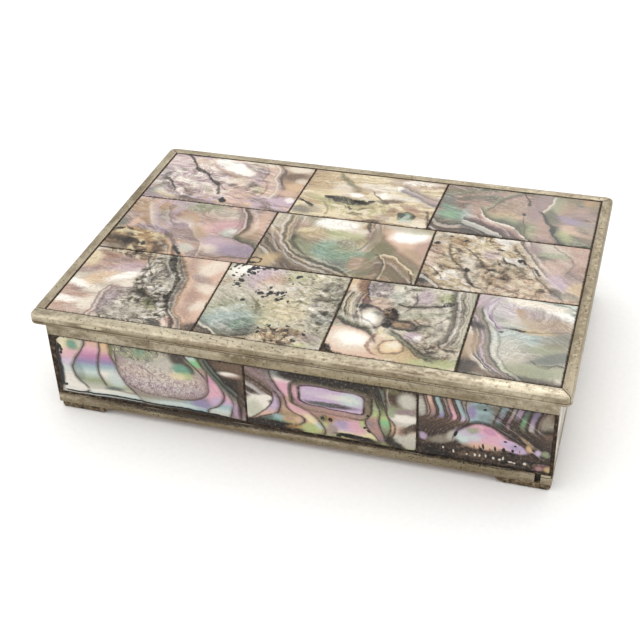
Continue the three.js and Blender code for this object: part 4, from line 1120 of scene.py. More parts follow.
# Layers of the first wall plate, from the left: along each the colour changes alike.
NACRE = (
    (-9.5, "ice"), (-7, "silver"), (-4, "sage"), (-1, "ice"), (1, "sky"), (3, "violet"), (5.4, "magenta"),
    (8, "pink"), (10.4, "blush"),
)
plate(
    "shell_front_1", Ground(("silver", "silver", "ice", "pearl"), 0, 14, 3, 0.08, 0.3, 0.1, 0.25),
    (-29, -6, 5, 6, "pearl"), (-29, 4.6, 4, 2.4, "pink"), (-29, 1.6, 4, 1.6, "lilac", 0.7),
    (-30, -1, 3, 1.6, "ice", 0.6), (-27, 9, 5, 3.6, "cream"), (-25.6, 6, 3, 1.8, "pink"),
    (-25.6, 8.9, 2.4, 2.2, "sage", 0.9), (-25.7, 8.9, 1.5, 1.5, "teal", 1),
    (-22.6, 10, 1.4, 1.6, "silver"),
    terrace(
        (
            (-21.3, 12), (-21.4, 9.6), (-22.6, 7.4), (-24.6, 4.6), (-26.2, 2), (-26.9, 0), (-26.5, -2.6),
            (-25.2, -5.2), (-23.4, -7.4), (-22.9, -8.6), (-24, -9.8)),
        NACRE, fade=0.4),
    (-25, -1.6, 1.6, 4, "slate", 0.4),
    terrace(
        ((-15.8, 12), (-16.2, 8), (-17, 5), (-17.9, 2), (-18, -0.6), (-17.4, -3), (-16.4, -5.4)),
        (
            (-6, "sage"), (-1, "pearl"), (1.4, "sky"), (3.4, "violet"), (5.6, "magenta"), (8, "blush"),
            (10.4, "peach")),
        fade=1.0),
    (-12, -2.6, 3, 3, "ice"), (-13.4, -6.7, 3.4, 0.9, "slate", 0.95, 2),
    (-6, -7.3, 8, 0.5, "ash", 0.8, 2), (-14, -8.4, 10, 0.8, "pearl", 0.9), (2, -8.6, 16, 0.9, "ice", 0.9),
    (10, -6.6, 8, 1.4, "sky", 0.8, 4),
    terrace(
        (
            (-12.6, 12), (-12.4, 7), (-11.6, 4), (-10.6, 1), (-9.9, -1.6), (-8.6, -4), (-6.4, -5.9),
            (-5.4, -7)),
        ((-7, "ash"), (-4.6, "mauve"), (-2, "lilac"), (2, "blush"), (6, "silver"), (11, "ash")), fade=0.1),
    (16, -9, 6, 3.2, "sky", 0.9), (17, -6.6, 3.4, 2, "violet", 0.9, 10), (8, -8.6, 8, 0.9, "ice", 0.9),
    (21.6, 1, 3.4, 6, "pink", 1), (21, 4.4, 2, 2, "magenta", 0.5), (22, -4.4, 2.4, 1.6, "lilac", 0.9, 30),
    (17.4, 8.6, 4, 3, "lime", 1, -35),
    Ring(
        4.6, 4.2, 15.6, 10.2,
        (
            (-10, "silver", 0.5), (-4, "mauve", 0.5), (-1.4, "mauve", 0.8), (-0.4, "bark", 0.8),
            (0, "umber", 0.9), (0.3, "brown", 0.4), (1, "lilac", 0)),
        -4, 0.3),
    Grit(4, 0.6, 15, 6.6, ("plum", "mauve", "silver", "pearl"), 0, 0.6, 0.5, 0.5, 0.05, 1.0),
    Grit(-3, 9.4, 9, 3, ("umber", "slate", "ash", "sage", "cream"), 0, 0.9, 0.6, 0.7, 0.06, 1.0),
    (-2, 9.6, 3, 2, "sage", 0.6), (-2.4, 9.8, 1.6, 1.4, "teal", 0.5), (5, 7, 4, 3, "silver", 0.6),
    (10.6, 9.4, 3.4, 2.4, "umber", 0.85, -25), (14.4, 6.4, 2.2, 1.3, "umber", 0.85, -50),
    (11.6, 5.4, 3.2, 2, "teal", 0.95, -10), (13, 3.4, 2.4, 1.3, "lime", 0.7),
    (10, 3, 3, 1.2, "cream", 0.7), (-12, 9, 0.7, 3, "olive", 0.9),
    crack(((-3, 4.4), (-1, 3.6), (1, 2.6), (2, 1.4)), 0.35, "mauve", "u", 0.8),
    crack(((13, 10.6), (15, 8.6), (17, 6.6), (18.8, 4.4)), 0.5, "umber", "u", 0.8),
    (16.8, 9.2, 2.6, 1.5, "green", 1, -40, 0.6), (15.4, 10.4, 1.6, 1, "ice", 0.8, -20),
    (18.4, 6.4, 0.5, 1.6, "rose", 0.8, 35),
    terrace(
        (
            (17.8, 10.6), (19.6, 7.6), (21.6, 5.2), (23.4, 2.8), (24.6, 0.2), (24.9, -2), (24, -4.4),
            (21.8, -6.8), (19.6, -8.3), (19, -9.8)),
        (
            (-10, "silver"), (-8, "ice"), (-6, "sky"), (-4.6, "lilac"), (-2, "pink"), (0.6, "mauve"),
            (3, "moss"), (6, "moss"), (10.6, "moss")),
        fade=0.3),
    terrace(
        ((25.9, 2), (26.6, -0.6), (27.6, -2.6), (28, -4.6), (27.4, -7), (26.8, -10)),
        ((-10, "mauve"), (-6, "plum"), (-3, "rose"), (1, "brown")), fade=0.6),
    (28.8, -6.6, 1.2, 3, "lilac", 0.6, 5),
    Edge(
        ((19.6, 12), (21.6, 8.6), (24, 5.4), (26.4, 2.4), (29, 0), (32, -3.4)),
        (
            (-3, "sage", 0), (-1.6, "slate", 0.7), (-0.8, "umber", 0.9), (0, "slate", 0.8),
            (0.7, "black", 0.85), (1.6, "brown", 0.95), (6, "bark", 0.95)),
        "u", fade=2),
    (30.4, -5, 1, 5, "brown"),
    crack(((30, 0), (29.6, -3), (30.4, -6), (30.8, -10)), 0.5, "umber", alpha=0.7),
    (28, 9.8, 5, 1.8, "bark"), (28, 4.2, 3, 2, "umber", 0.7), (27.6, 7, 3, 0.8, "pearl", 1, -4),
    (29, 6.2, 2.6, 0.7, "rose", 0.5), (4, -11.2, 34, 1, "umber", 1, 0, 0.5),
    crack(((-30, -10.3), (-23, -9.9), (0, -9.7), (20, -10.2), (30, -10.6)), 0.5, "black", "u"),
    *pits((-30.6, 7.6, 0.6, 1.3, 30), (-29.9, 6.2, 0.5, 0.7), (-31.6, -1, 0.5, 9)),
    (-32.2, 0, 2, 11, "black", 0.95, 1, 0.5),
    *spatter(((-31.4, 9), (-30.8, 4), (-31, -2), (-31.2, -8)), 14, 0.8, 11, 0.5),
)
plate(
    "shell_front_2", Ground(("brown", "mauve", "bark", "ash"), 20, 10, 2.4, 0.2, 0.5, 0.2, 0.3),
    Edge(
        ((-27, 10.4), (-23, 8.4), (-20, 6.4), (-17, 3.6)),
        ((-7, "brown", 0.6), (-1, "bark", 0.8), (0.6, "mauve", 0.8), (4, "bark", 0.8)), "u",
        (-9, 5, 1.2, 0.5), 0),
    (-24, -4, 4.6, 5.6, "pearl", 1, -20, 0.4), (-25, -5, 3, 4, "sage", 0.5),
    (-21, 0.6, 2.6, 1.2, "pearl", 1, 0, 0.5),
    terrace(
        (
            (-18.6, 3), (-18.3, 1), (-18.5, -0.6), (-19.2, -1.8), (-20.8, -3.8), (-22.6, -5.6),
            (-24.6, -7.6), (-27, -9.6)),
        ((-9.6, "rose"), (-6, "blush"), (-3, "lilac"), (1, "lilac"), (3, "mauve")), width=0.6),
    terrace(
        (
            (-17.6, 3.6), (-16.4, 1.4), (-16, -1), (-16.4, -3), (-17.4, -5), (-19.6, -6.1), (-22.6, -7.4),
            (-25.6, -9.4)),
        ((-9.4, "umber"), (-7, "slate"), (-4.6, "tan"), (-2, "blush"), (1, "rose"), (3.6, "lilac")),
        fade=0.6),
    (-17, -6.8, 2, 1.2, "sky", 0.9), (-18, -8.4, 3, 1, "teal", 0.6), (-12.6, -7, 3.2, 1.6, "sand", 0.9),
    (-13.4, -6.6, 1.4, 1, "rose", 0.7), (-10, -6.6, 1.4, 1.2, "blush"),
    (-15.4, 9.4, 4, 2, "ice", 0.9, -20), (-12, 9.6, 2.4, 1.6, "cream"),
    Edge(
        (
            (-19, 11.6), (-18.4, 9), (-17, 6), (-16, 4), (-14.8, 2), (-14.4, 0), (-14.1, -2), (-13, -3.4),
            (-11, -4.4), (-9, -5.2), (-8, -6.4), (-8.6, -7.6), (-10.6, -9), (-13.6, -10)),
        ((-1, "bark", 0), (-0.3, "brown", 0.5), (0, "umber", 0.95), (0.3, "plum", 0.6), (1, "rose", 0)),
        fill=(
            (-10, "sand"), (-8, "lime"), (-6.4, "peach"), (-4.6, "blush"), (-2.4, "pink"), (1, "blush"),
            (4, "pink"), (7, "pink"), (9, "pearl"), (11, "ice")),
        fade=0.4),
    (-6, -5.4, 2.6, 1.2, "cream", 0.9, -35), (-3, -7.4, 1.6, 1.8, "ice", 0.9, 20),
    (-6, -9.6, 3.6, 2, "lime", 0.9),
    terrace(
        (
            (-9, 9), (-10.6, 7.8), (-12, 6.4), (-12.3, 5), (-12.2, 3), (-11.4, 1), (-9.4, -1), (-7, -2.4),
            (-4.4, -4.4), (-2.6, -6.4), (-1.5, -8.4), (-1.3, -10), (-2.4, -12)),
        (
            (-11, "lime"), (-8, "cream"), (-6, "lime"), (-4.4, "olive"), (-2.6, "rose"), (-1, "mauve"),
            (1, "rose"), (3, "mauve"), (6, "bark"), (8, "umber")),
        fade=0.2),
    (5, -3, 9, 3, "rose", 0.9), (3, -1.4, 4, 1.4, "pink", 0.9, -4), (2.4, -1.6, 2, 0.8, "magenta", 0.6),
    (5, -6, 4, 2.2, "lilac", 0.95), (4.6, -5.4, 2, 1.4, "violet", 0.5), (9, -5.6, 3, 3, "pink", 0.9),
    (1, -8.4, 2, 2.4, "mauve"), (-5, -1.4, 4, 1.2, "mauve", 0.7, -10), (-1.6, -4, 1.3, 1.3, "moss", 0.9),
    (10.6, -3, 1.2, 2.4, "lime", 0.9), (2, 11, 20, 3.6, "umber", 1, 0, 0.4),
    (13, 8, 4.4, 4, "umber", 0.95, -40, 0.6),
    Ring(
        0.5, 3.4, 12.8, 5.5,
        (
            (-3, "mauve", 0.6), (-1.6, "olive", 0.6), (-0.8, "bark", 0.85), (-0.2, "umber", 0.95),
            (0.4, "moss", 0.9), (0.9, "umber", 0.7), (2, "umber", 0)),
        -2, 0.55),
    (11.6, 1.6, 1, 3, "olive", 0.6), (-10.8, 4.4, 1.2, 2.6, "pink"), (-10, 1, 1.2, 1.4, "magenta", 0.7),
    (0, -1.6, 10, 1.6, "rose", 0.6),
    Ring(
        0.6, 3.7, 10.3, 3.8,
        (
            (-3.6, "lilac", 1), (-1.4, "lilac", 1), (-0.7, "mauve", 1), (-0.2, "umber", 1),
            (0.15, "black", 0.95), (0.5, "plum", 0.9), (1.4, "brown", 0)),
        -2, 0.62, rise=0.05),
    (6.6, 4.4, 3.6, 2.4, "ice", 1), (0, 4.8, 8, 1.2, "pearl", 0.6, -2), (-4, 5.4, 4, 1.2, "lilac", 0.7),
    # Painted shade: the dark band along the inside of the oval's lower edge.
    (0, 1.3, 8, 0.9, "umber", 0.85, 1), (-2, 1.2, 4, 0.7, "slate", 0.6, 4),
    terrace(
        (
            (13, 9), (13.6, 6), (13.4, 3), (13, 1), (12.2, -0.6), (11.4, -2.6), (11.8, -4.4), (13.4, -7),
            (15.6, -9.6)),
        ((-9, "mauve"), (-6, "rose"), (-3, "mauve"), (-1, "rose"), (1, "lime"), (4, "sage"), (7, "moss")),
        width=0.7),
    terrace(
        (
            (13.6, 9), (14.6, 6), (15.5, 3.6), (15.8, 2), (15.4, 0), (15.4, -2), (15.9, -4.4), (17, -7),
            (18, -9)),
        ((-8, "moss"), (-4, "sage"), (-1.4, "green"), (0.6, "lime"), (4, "moss"), (8, "umber")),
        width=0.8),
    (14.6, -3.4, 0.5, 2, "rose", 0.7),
    terrace(
        ((16, 10), (17.2, 6), (17.8, 3), (18.4, 1), (19, -1), (19.1, -3.6), (18.6, -6.6)),
        ((-7, "bark"), (-3, "peach"), (0, "tan"), (4, "slate"), (9, "slate")), width=0.7),
    terrace(
        ((17.4, 12), (18, 8), (18.2, 4), (19, 0.6), (20.3, -1.4), (20.5, -4), (19.8, -7)),
        (
            (-10, "sage"), (-7, "silver"), (-4, "blush"), (-1, "silver"), (1.6, "pearl"), (4, "sage"),
            (7, "bark"), (11, "brown")),
        width=0.8),
    (21, 8.6, 2.6, 2.4, "brown", 0.9, -20), (20, 11, 2.4, 1.4, "olive", 0.7),
    crack(((18.6, 11), (18.8, 8), (19.4, 5.4)), 0.4, "ash"), (25, 8, 3, 2.6, "silver", 1, -30, 0.9),
    (24.6, 4, 4, 1.2, "mauve", 0.9, 10), (23.4, 1.4, 3.6, 1.4, "pearl", 1, 5),
    (19.8, 2.6, 1.2, 1.6, "sage", 0.9), (25.6, -2.4, 3.4, 1.6, "brown", 0.95, 40, 0.5),
    (23.4, -4, 1.8, 2.4, "bark", 0.7, -30), (24.4, -8.4, 4, 2.6, "silver", 0.9),
    (26, -5.4, 1.6, 2, "silver", 0.7), (21, -10.6, 4, 1.6, "umber", 0.95, -30),
    (19, -8.4, 1.4, 1.4, "umber"), (-21, -10, 8, 1.7, "umber", 1, 3, 0.4), (-14, -10.6, 5, 1, "black"),
    (-12, -9.4, 3, 0.6, "gold", 0.6, 10), (8, -9.8, 6, 0.9, "black", 1, -3, 0.5),
    (12, -10.6, 5, 1.2, "umber", 0.9), (5.6, -11, 3, 0.5, "tan"), (0.2, -4.2, 1.4, 1.4, "gold", 0.6),
    *pits(
        (0.4, -4.3, 0.75, 0.75), (-2.2, -4.3, 0.6, 0.5), (11.2, -5, 0.6, 0.4, 20),
        (12.4, -6.4, 0.8, 0.4, -50), (12, 0, 0.5, 0.4), (3, -10.4, 0.9, 0.5)),
    (0.4, -11.6, 30, 0.7, "umber"),
)


def chevrons(way, *layers):
    """Steep layers that bulge or fold at the middle of the plate, each (x, fill)."""
    course = (
        (-0.6, 12), (0.4, 9), (1.2, 6.6), (1.4, 5), (0.6, 3.4), (-2.2, 1.2), (-4.4, -1.6), (-5.6, -5.6))
    return tuple(
        terrace(
            tuple((x + way * du, v) for du, v in course), fill, 1, width=0.6, fade=0.5) for x, fill in layers)


def layer(*colours):
    """A folded layer's colours: dark below its fold, and those given above it."""
    return ((-4, "umber"), (1, "brown"), (3.4, "bark"), *zip((4.6, 7, 10), colours))


plate(
    "shell_front_3", Ground(("umber", "brown", "brown", "bark"), 15, 8, 3, 0.25, 0.4, 0.3, 0.3),
    (-19.4, 7, 1.6, 3.6, "silver", 0.8, 15),
    *chevrons(
        1, (-18.6, layer("blush", "blush", "rose")), (-17.8, layer("mauve", "rose", "blush")),
        (-15.9, layer("umber", "brown", "umber")), (-15.1, layer("violet", "sky", "sky")),
        (-13.2, layer("brown", "bark", "brown")), (-12.4, layer("plum", "mauve", "ash")),
        (-11.2, layer("pink", "pink", "rose")), (-9.4, layer("bark", "brown", "brown")),
        (-8.4, layer("lilac", "sky", "sky")), (-6.6, layer("mauve", "silver", "ash"))),
    (-1.4, 7.6, 4, 5, "sky", 1, 0, 0.5), (-3.6, 8, 1.6, 2.6, "violet", 0.95),
    (0.4, 6.4, 2, 1.8, "slate", 0.5), (0, 10.4, 3, 1.2, "slate", 0.7),
    terrace(((-5.6, 12), (-5.2, 8), (-4.5, 5.6), (-4.6, 4)), width=0.6),
    *chevrons(
        -1, (4.4, layer("teal", "lilac", "sky")), (6.6, layer("brown", "umber", "brown")),
        (7.6, layer("pink", "pink", "silver")), (9, layer("bark", "brown", "lilac")),
        (11.2, layer("sage", "green", "slate")), (13.2, layer("umber", "brown", "umber")),
        (13.8, layer("pearl", "lilac", "violet")), (15.9, layer("brown", "umber", "umber")),
        (16.6, layer("rose", "rose", "plum")), (17.6, layer("umber", "ash", "bark"))),
    Edge(
        ((4, 3.6), (8, 1), (12, -2), (16, -5)), ((-1, "umber", 0), (0, "umber", 0.6), (8, "umber", 0.35)),
        "u", (-1, 8, 1.1, 0.6), 3),
    (12.6, -0.6, 0.6, 3, "tan", 0.8, 50), (18, 8, 1.4, 3, "ash", 0.7, -20),
    Grit(0, -8.6, 22, 4.2, ("black", "umber", "brown", "bark"), 0, 0.9, 0.4, 1.2, 0.1),
    (-13, -4.6, 4, 1.4, "ash", 0.8, 20), (-9.8, -2.4, 1.4, 2, "silver", 0.8, -20),
    (-18.4, -5, 1.2, 1.4, "lilac"), (-2, -1, 7, 3.4, "lilac", 1, 0, 0.3),
    (-0.6, 2, 3.6, 1.8, "pink", 1, 0, 0.4), (6, -2.6, 7, 2.2, "lilac", 1, -18, 0.3),
    (3, 0.6, 3.6, 1.8, "pink", 1, -20), (2, 1.2, 2, 1.2, "magenta", 0.7, -20), (2, -3, 5, 2, "pink", 0.9),
    (0, -4.6, 6, 1.2, "blush", 0.9), (-3.4, 0.8, 2.6, 1.2, "sage", 0.8, 15),
    (-2.4, -2, 2, 1.2, "ice", 0.7), (-6.4, -2, 2.2, 2.4, "ice", 1, 20), (-6, -0.6, 1.8, 1, "lilac", 0.6),
    (8, -3, 3, 1.2, "lilac", 0.9, -18), (9.4, -3.6, 2, 1, "violet", 0.5),
    Edge(
        (
            (-9, -2.4), (-8, -0.4), (-6, 1.4), (-3, 3.2), (0, 3.8), (3, 3), (6, 1), (9, -0.8), (12, -2.6),
            (13.4, -4.4)),
        (
            (-0.9, "rose", 0), (-0.3, "plum", 0.5), (0.1, "umber", 0.9), (0.8, "umber", 0.7),
            (1.4, "umber", 0)),
        "u"),
    (16, -4, 1.1, 1.2, "lilac", 1), (13.2, -3, 0.8, 1.4, "peach", 0.8, 20), (18.4, -4, 1.4, 1.2, "sage"),
    (17.6, -9.8, 2.4, 1.2, "plum", 1, 20), (17, -10.2, 1, 0.8, "rose"),
    (19.6, -10, 1.2, 1.2, "sand", 0.9), (-14, -10, 7, 1.6, "black", 0.7, -10),
    *pits(
        (-8.5, -1.4, 0.5, 1.2, -20), (6.4, -1.6, 0.4, 0.4), (9.1, -2.8, 0.35, 0.35), (0.4, 9.8, 0.5, 0.4),
        (0, -4.6, 0.35, 1), (3.7, -4.8, 0.35, 0.9), (6.1, -5, 0.4, 1), (8.5, -4.8, 0.4, 0.6),
        (-0.9, -5.9, 0.6, 0.9, 20)),
    *pits(
        (-2.8, -5.2, 0.25, 0.8), (-1.2, -5, 0.25, 0.8), (2, -5.6, 0.25, 0.7), (10.6, -4.6, 0.25, 0.6),
        colour="rust", alpha=0.7),
    *pits(
        (-2.6, -8.2, 0.35, 0.6), (-1.2, -8.2, 0.25, 0.5), (0.6, -8.2, 0.25, 0.6), (3, -8.5, 0.4, 0.5),
        (4.8, -8.8, 0.4, 0.4), (5.8, -8.2, 0.3, 0.7), (8, -9.2, 0.8, 0.3), (9.2, -9.4, 0.4, 0.3),
        (12.2, -9.2, 0.5, 0.6), (-9.3, -8.2, 0.3, 0.6), (-12.4, -7.6, 0.3, 0.5), (-5, -8.6, 0.3, 0.4),
        colour="pearl", alpha=0.8),
    (0, -11.6, 22, 0.8, "black"),
)

# The sides that are turned away take after the plates in view, some turned about; the third number pales a
# twin towards pearl, which on the right wall is a painted reflection of the shell seen edge on.
TWINS = {
    "shell_right_1": ("shell_front_2", True, 0.35), "shell_right_2": ("shell_front_1", True, 0.35),
    "shell_back_1": ("shell_front_3", True, 0.0), "shell_back_2": ("shell_front_1", False, 0.0),
    "shell_back_3": ("shell_front_2", True, 0.0), "shell_left_1": ("shell_front_1", True, 0.0),
    "shell_left_2": ("shell_front_2", False, 0.0),
}


# ------------------------------------------------------------------ shapes
TURNS = {"front": 0, "right": 90, "back": 180, "left": -90}


NOISE_SEED = 1
# How far in a shell plate's margin is told apart, and its deepest hollow, in mm.
MARGIN_REACH = 3.0
DEEPEST_HOLLOW = 0.45


def axes_of(name):
    """A plate's own right, up and outward directions."""
    if name.startswith("lid_"):
        return Vector((1, 0, 0)), Vector((0, 1, 0)), Vector((0, 0, 1))
    turn = math.radians(TURNS[name.split("_")[1]])
    right = Vector((math.cos(turn), math.sin(turn), 0))
    return right, Vector((0, 0, 1)), Vector((math.sin(turn), -math.cos(turn), 0))


def copy_of(name):
    """A merged copy of a CAD node's shape, its flats made whole."""
    bm = bmesh.new()
    bm.from_mesh(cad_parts[name].data)
    bmesh.ops.remove_doubles(bm, verts=bm.verts, dist=1e-6)
    flat = [e for e in bm.edges if len(e.link_faces) == 2 and e.calc_face_angle(1) < 0.005]
    bmesh.ops.dissolve_edges(bm, edges=flat, use_verts=False)
    return bm


def edge_distance(corners, u, v):
    """How far inside a plate's outline a place is, in mm."""
    gaps = []
    for (au, av), (bu, bv) in zip(corners, corners[1:] + corners[:1]):
        across = (v - av) * (bu - au) - (u - au) * (bv - av)
        gaps.append(abs(across) / math.dist((au, av), (bu, bv)))
    return min(gaps)


def slice_up(bm, axis, pitch, outward=None):
    """Cuts a shape across an axis at a pitch, on its outward side alone where one is given."""
    reaches = [v.co.dot(axis) for v in bm.verts]
    low, high = min(reaches), max(reaches)
    steps = max(round((high - low) / pitch), 1)
    for step in range(1, steps):
        if outward is None:
            geom = bm.verts[:] + bm.edges[:] + bm.faces[:]
        else:
            faces = [f for f in bm.faces if f.normal.dot(outward) > 0.3]
            # Kept in order, so that each run cuts alike.
            geom = list(dict.fromkeys(e for f in faces for e in f.edges)) + faces
            geom += list(dict.fromkeys(v for f in faces for v in f.verts))
        bmesh.ops.bisect_plane(
            bm, geom=geom, dist=1e-7, plane_co=axis * (low + (high - low) * step / steps), plane_no=axis,
        )
    bm.normal_update()


def finish_piece(bm, name, material, angle):
    """Makes a piece of a shape, in the place of the CAD node of its name."""
    mesh = bpy.data.meshes.new(name + "_finish")
    bm.to_mesh(mesh)
    bm.free()
    mesh.shade_smooth()
    mesh.set_sharp_from_angle(angle=math.radians(angle))
    mesh.materials.append(material)
    piece = bpy.data.objects.new(name + "_finish", mesh)
    bpy.context.scene.collection.objects.link(piece)
    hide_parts(name)
    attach(piece, "root")
    return piece


def shell_piece(name, seed):
    """One plate of shell: the CAD plate's outline with the shell's own uneven face."""
    # Unless it is set, the drift below takes its seed from the clock.
    noise.seed_set(NOISE_SEED)
    sizes = bpy.context.scene.shell_box_sizes
    model, mirrored, painted_glare = TWINS.get(name, (name, False, 0.0))
    ground, strokes = PLATES[model]
    right, up, out = axes_of(name)
    low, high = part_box(name)
    middle = (low + high) / 2
    bm = copy_of(name)
    slice_up(bm, right, sizes.shell_pitch, out)
    slice_up(bm, up, sizes.shell_pitch, out)
    base = min(v.co.dot(out) for v in bm.verts)
    top = max(v.co.dot(out) for v in bm.verts)
    under = max((f for f in bm.faces if f.normal.dot(out) < -0.9), key=lambda f: f.calc_area())
    border = [((c.co - middle).dot(right) / MM, (c.co - middle).dot(up) / MM) for c in under.verts]
    worked = [s for s in strokes if getattr(s, "rise", 0) or getattr(s, "step", 0)]
    pattern = bm.loops.layers.uv.new("pattern")
    hollow = bm.verts.layers.float.new("hollow")
    margin = bm.verts.layers.float.new("margin")
    wander = sizes.wander / MM * (1.0 if model == name else 2.5)
    places = {}
    for vert in bm.verts:
        u = (vert.co - middle).dot(right) / MM
        v = (vert.co - middle).dot(up) / MM
        vert[margin] = min(edge_distance(border, u, v), MARGIN_REACH)
        if mirrored:
            u = -u
        at = Vector((u, v, seed * 9.1))
        drift = noise.noise_vector(at / 15) * wander + noise.noise_vector(at / 3.5) * wander / 4
        u, v = u + drift.x, v + drift.y
        places[vert] = (0.5 + u / SPAN, 0.5 + v / SPAN)
        share = (vert.co.dot(out) - base) / (top - base)
        if share < 0.5:
            continue
        lift = sum(stroke.lift(u, v) for stroke in worked)
        rugged = sum(s.lift(u, v) for s in worked if isinstance(s, Grit))
        vert[hollow] = max(-rugged / 0.2, 0.0)
        swell = noise.fractal(at / 11, 0.8, 2.0, 2) * sizes.swell / MM
        depth = max(sizes.swell / MM + 0.06 - lift + swell, 0.0)
        vert.co -= out * min(depth, DEEPEST_HOLLOW) * MM
    for face in bm.faces:
        for loop in face.loops:
            loop[pattern].uv = places[loop.vert]
    finish = bpy.context.scene.shell_box_finish
    if name.startswith("lid_"):
        grade = (finish.lid_depth, finish.lid_richness, finish.lid_yellowing)
    else:
        grade = (finish.wall_depth, finish.wall_richness, 0.0)
    material = abalone(name, ground, strokes, seed, painted_glare, grade)
    return finish_piece(bm, name, material, 50)


def metal_piece(name, axes, material, seed):
    """One strip of worn metal: edges softened, faces a little uneven, nicks along it.

    A wall's strip is made afresh as a bar the size of its node's box, so it has square
    ends. The rim's strips and the feet are worked from copies of their nodes.
    """
    sizes = bpy.context.scene.shell_box_sizes
    if "band" in name:
        low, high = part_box(name)
        bm = bmesh.new()
        bmesh.ops.create_cube(bm, size=1.0)
        bmesh.ops.scale(bm, vec=high - low, verts=bm.verts)
        bmesh.ops.translate(bm, vec=(low + high) / 2, verts=bm.verts)
    else:
        bm = copy_of(name)
    keen = [e for e in bm.edges if len(e.link_faces) == 2 and e.is_convex and e.calc_face_angle(0) > 0.6]
    bmesh.ops.bevel(
        bm, geom=keen, offset=sizes.worn_edge, offset_type="OFFSET", segments=2, profile=0.5,
        affect="EDGES", material=-1, clamp_overlap=True,
    )
    for axis in axes:
        slice_up(bm, Vector(axis), sizes.metal_pitch)
    normals = {v: v.normal.copy() for v in bm.verts}
    for vert, normal in normals.items():
        at = vert.co / MM + Vector((seed * 13, 0, 0))
        keenness = 1 - max(abs(c) for c in normal)
        uneven = 0.5 + 0.5 * noise.noise(at / 7)
        nick = max(noise.noise(at / 2.3) - 0.32, 0.0) * (0.15 + 2.0 * keenness)
        vert.co -= normal * (sizes.uneven * uneven + sizes.nick * nick)
    return finish_piece(bm, name, material, 35)


# ------------------------------------------------------------------ materials
def abalone(name, ground, strokes, seed, painted_glare, grade):
    """Abalone shell, ground flat and polished: layered nacre that shifts from green to rose.

    It gives the eye broad sweeps of colour with streaks and glows of painted satin sheen, dark growth lines
    round them, and broken chalky patches where the polish met the shell's rough outer layers, with painted
    shade in their hollows and painted glints on their crests.
    """
    material = blank("abalone_ground_and_polished_" + name)
    tree = material.node_tree
    canvas = Canvas(tree, seed, ground.shake)
    canvas.lay(ground)
    canvas.paint(strokes)
    # The hollows of the broken patches are darkened towards umber.
    hollow = add(
        tree, "MapRange",
        {
            "Value": add(tree, "Attribute", attribute_name="hollow").outputs["Fac"], "From Min": 0.35,
            "From Max": 1.3, "To Max": 0.75,
        },
    )
    canvas.colour = add(
        tree, "Mix",
        {0: hollow, 6: canvas.colour, 7: tint("umber")},
        data_type="RGBA",
    )
    # A fine speckle of 0.5 mm breaks up the colour.
    speckle = add(
        tree, "TexNoise", {0: canvas.plain, "Scale": 1.1, "Detail": 5, "Roughness": 0.75},
        noise_dimensions="2D",
    )
    flecks = add(
        tree, "ValToRGB", {0: speckle},
        stops=[
            (0.30, tint("umber", 0.3 * ground.grain)), (0.46, tint("umber", 0.0)),
            (0.54, tint("white", 0.0)), (0.70, tint("white", 0.35 * ground.grain)),
        ],
    )
    canvas.colour = add(
        tree, "Mix",
        {0: flecks.outputs["Alpha"], 6: canvas.colour, 7: flecks},
        data_type="RGBA",
    )
    # Painted reflection: a twin seen edge on is paled towards pearl, as glare off the polish.
    if painted_glare:
        canvas.colour = add(
            tree, "Mix",
            {0: painted_glare, 6: canvas.colour, 7: tint("pearl")},
            data_type="RGBA",
        )
    # Resin and dirt creep over the plate's edge by up to a millimetre.
    creep = add(
        tree, "Math",
        {0: speckle, 1: 2.4, 2: add(tree, "Attribute", attribute_name="margin").outputs["Fac"]},
        operation="MULTIPLY_ADD",
    )
    rim_dirt = add(
        tree, "MapRange", {"Value": creep, "From Min": 1.35, "From Max": 0.9, "To Max": 0.9},
    )
    canvas.colour = add(
        tree, "Mix",
        {0: rim_dirt, 6: canvas.colour, 7: tint("black")},
        data_type="RGBA",
    )
    finish = bpy.context.scene.shell_box_finish
    deepened = add(tree, "Gamma", {0: canvas.colour.outputs[2], 1: finish.shell_contrast})
    depth, richness, yellowing = grade
    graded = add(tree, "HueSaturation", {"Saturation": richness, "Value": depth, "Color": deepened})
    polished = add(
        tree, "Mix", {0: yellowing, 6: graded, 7: finish.yellowed[:]}, data_type="RGBA",
        blend_type="MULTIPLY",
    )
    height = add(tree, "Math", {0: speckle, 1: 0.03, 2: canvas.height}, operation="MULTIPLY_ADD")
    bump = add(tree, "Bump", {"Strength": 1.0, "Distance": MM, "Height": height})
    shade(
        tree,
        {
            "Base Color": polished, "Roughness": canvas.rough, "Normal": bump, "IOR": 1.53,
            "Specular IOR Level": 0.3,
        },
    )
    return material


def in_mm(tree, scale=(1, 1, 1), turn=(0, 0, 0)):
    """Object coordinates in millimetres, stretched and turned for a pattern."""
    return add(
        tree, "Mapping",
        {
            0: add(tree, "TexCoord").outputs["Object"], "Scale": [1000 * s for s in scale],
            "Rotation": turn,
        },
    )


class StainOrLight(NamedTuple):
    """A patch of tarnish on metal, or of painted shade or painted highlight: its middle and reach in mm, and
    how dark or pale it is.
    """

    middle: tuple
    reach: tuple
    colour: str
    alpha: float
    pits: float = 0.0


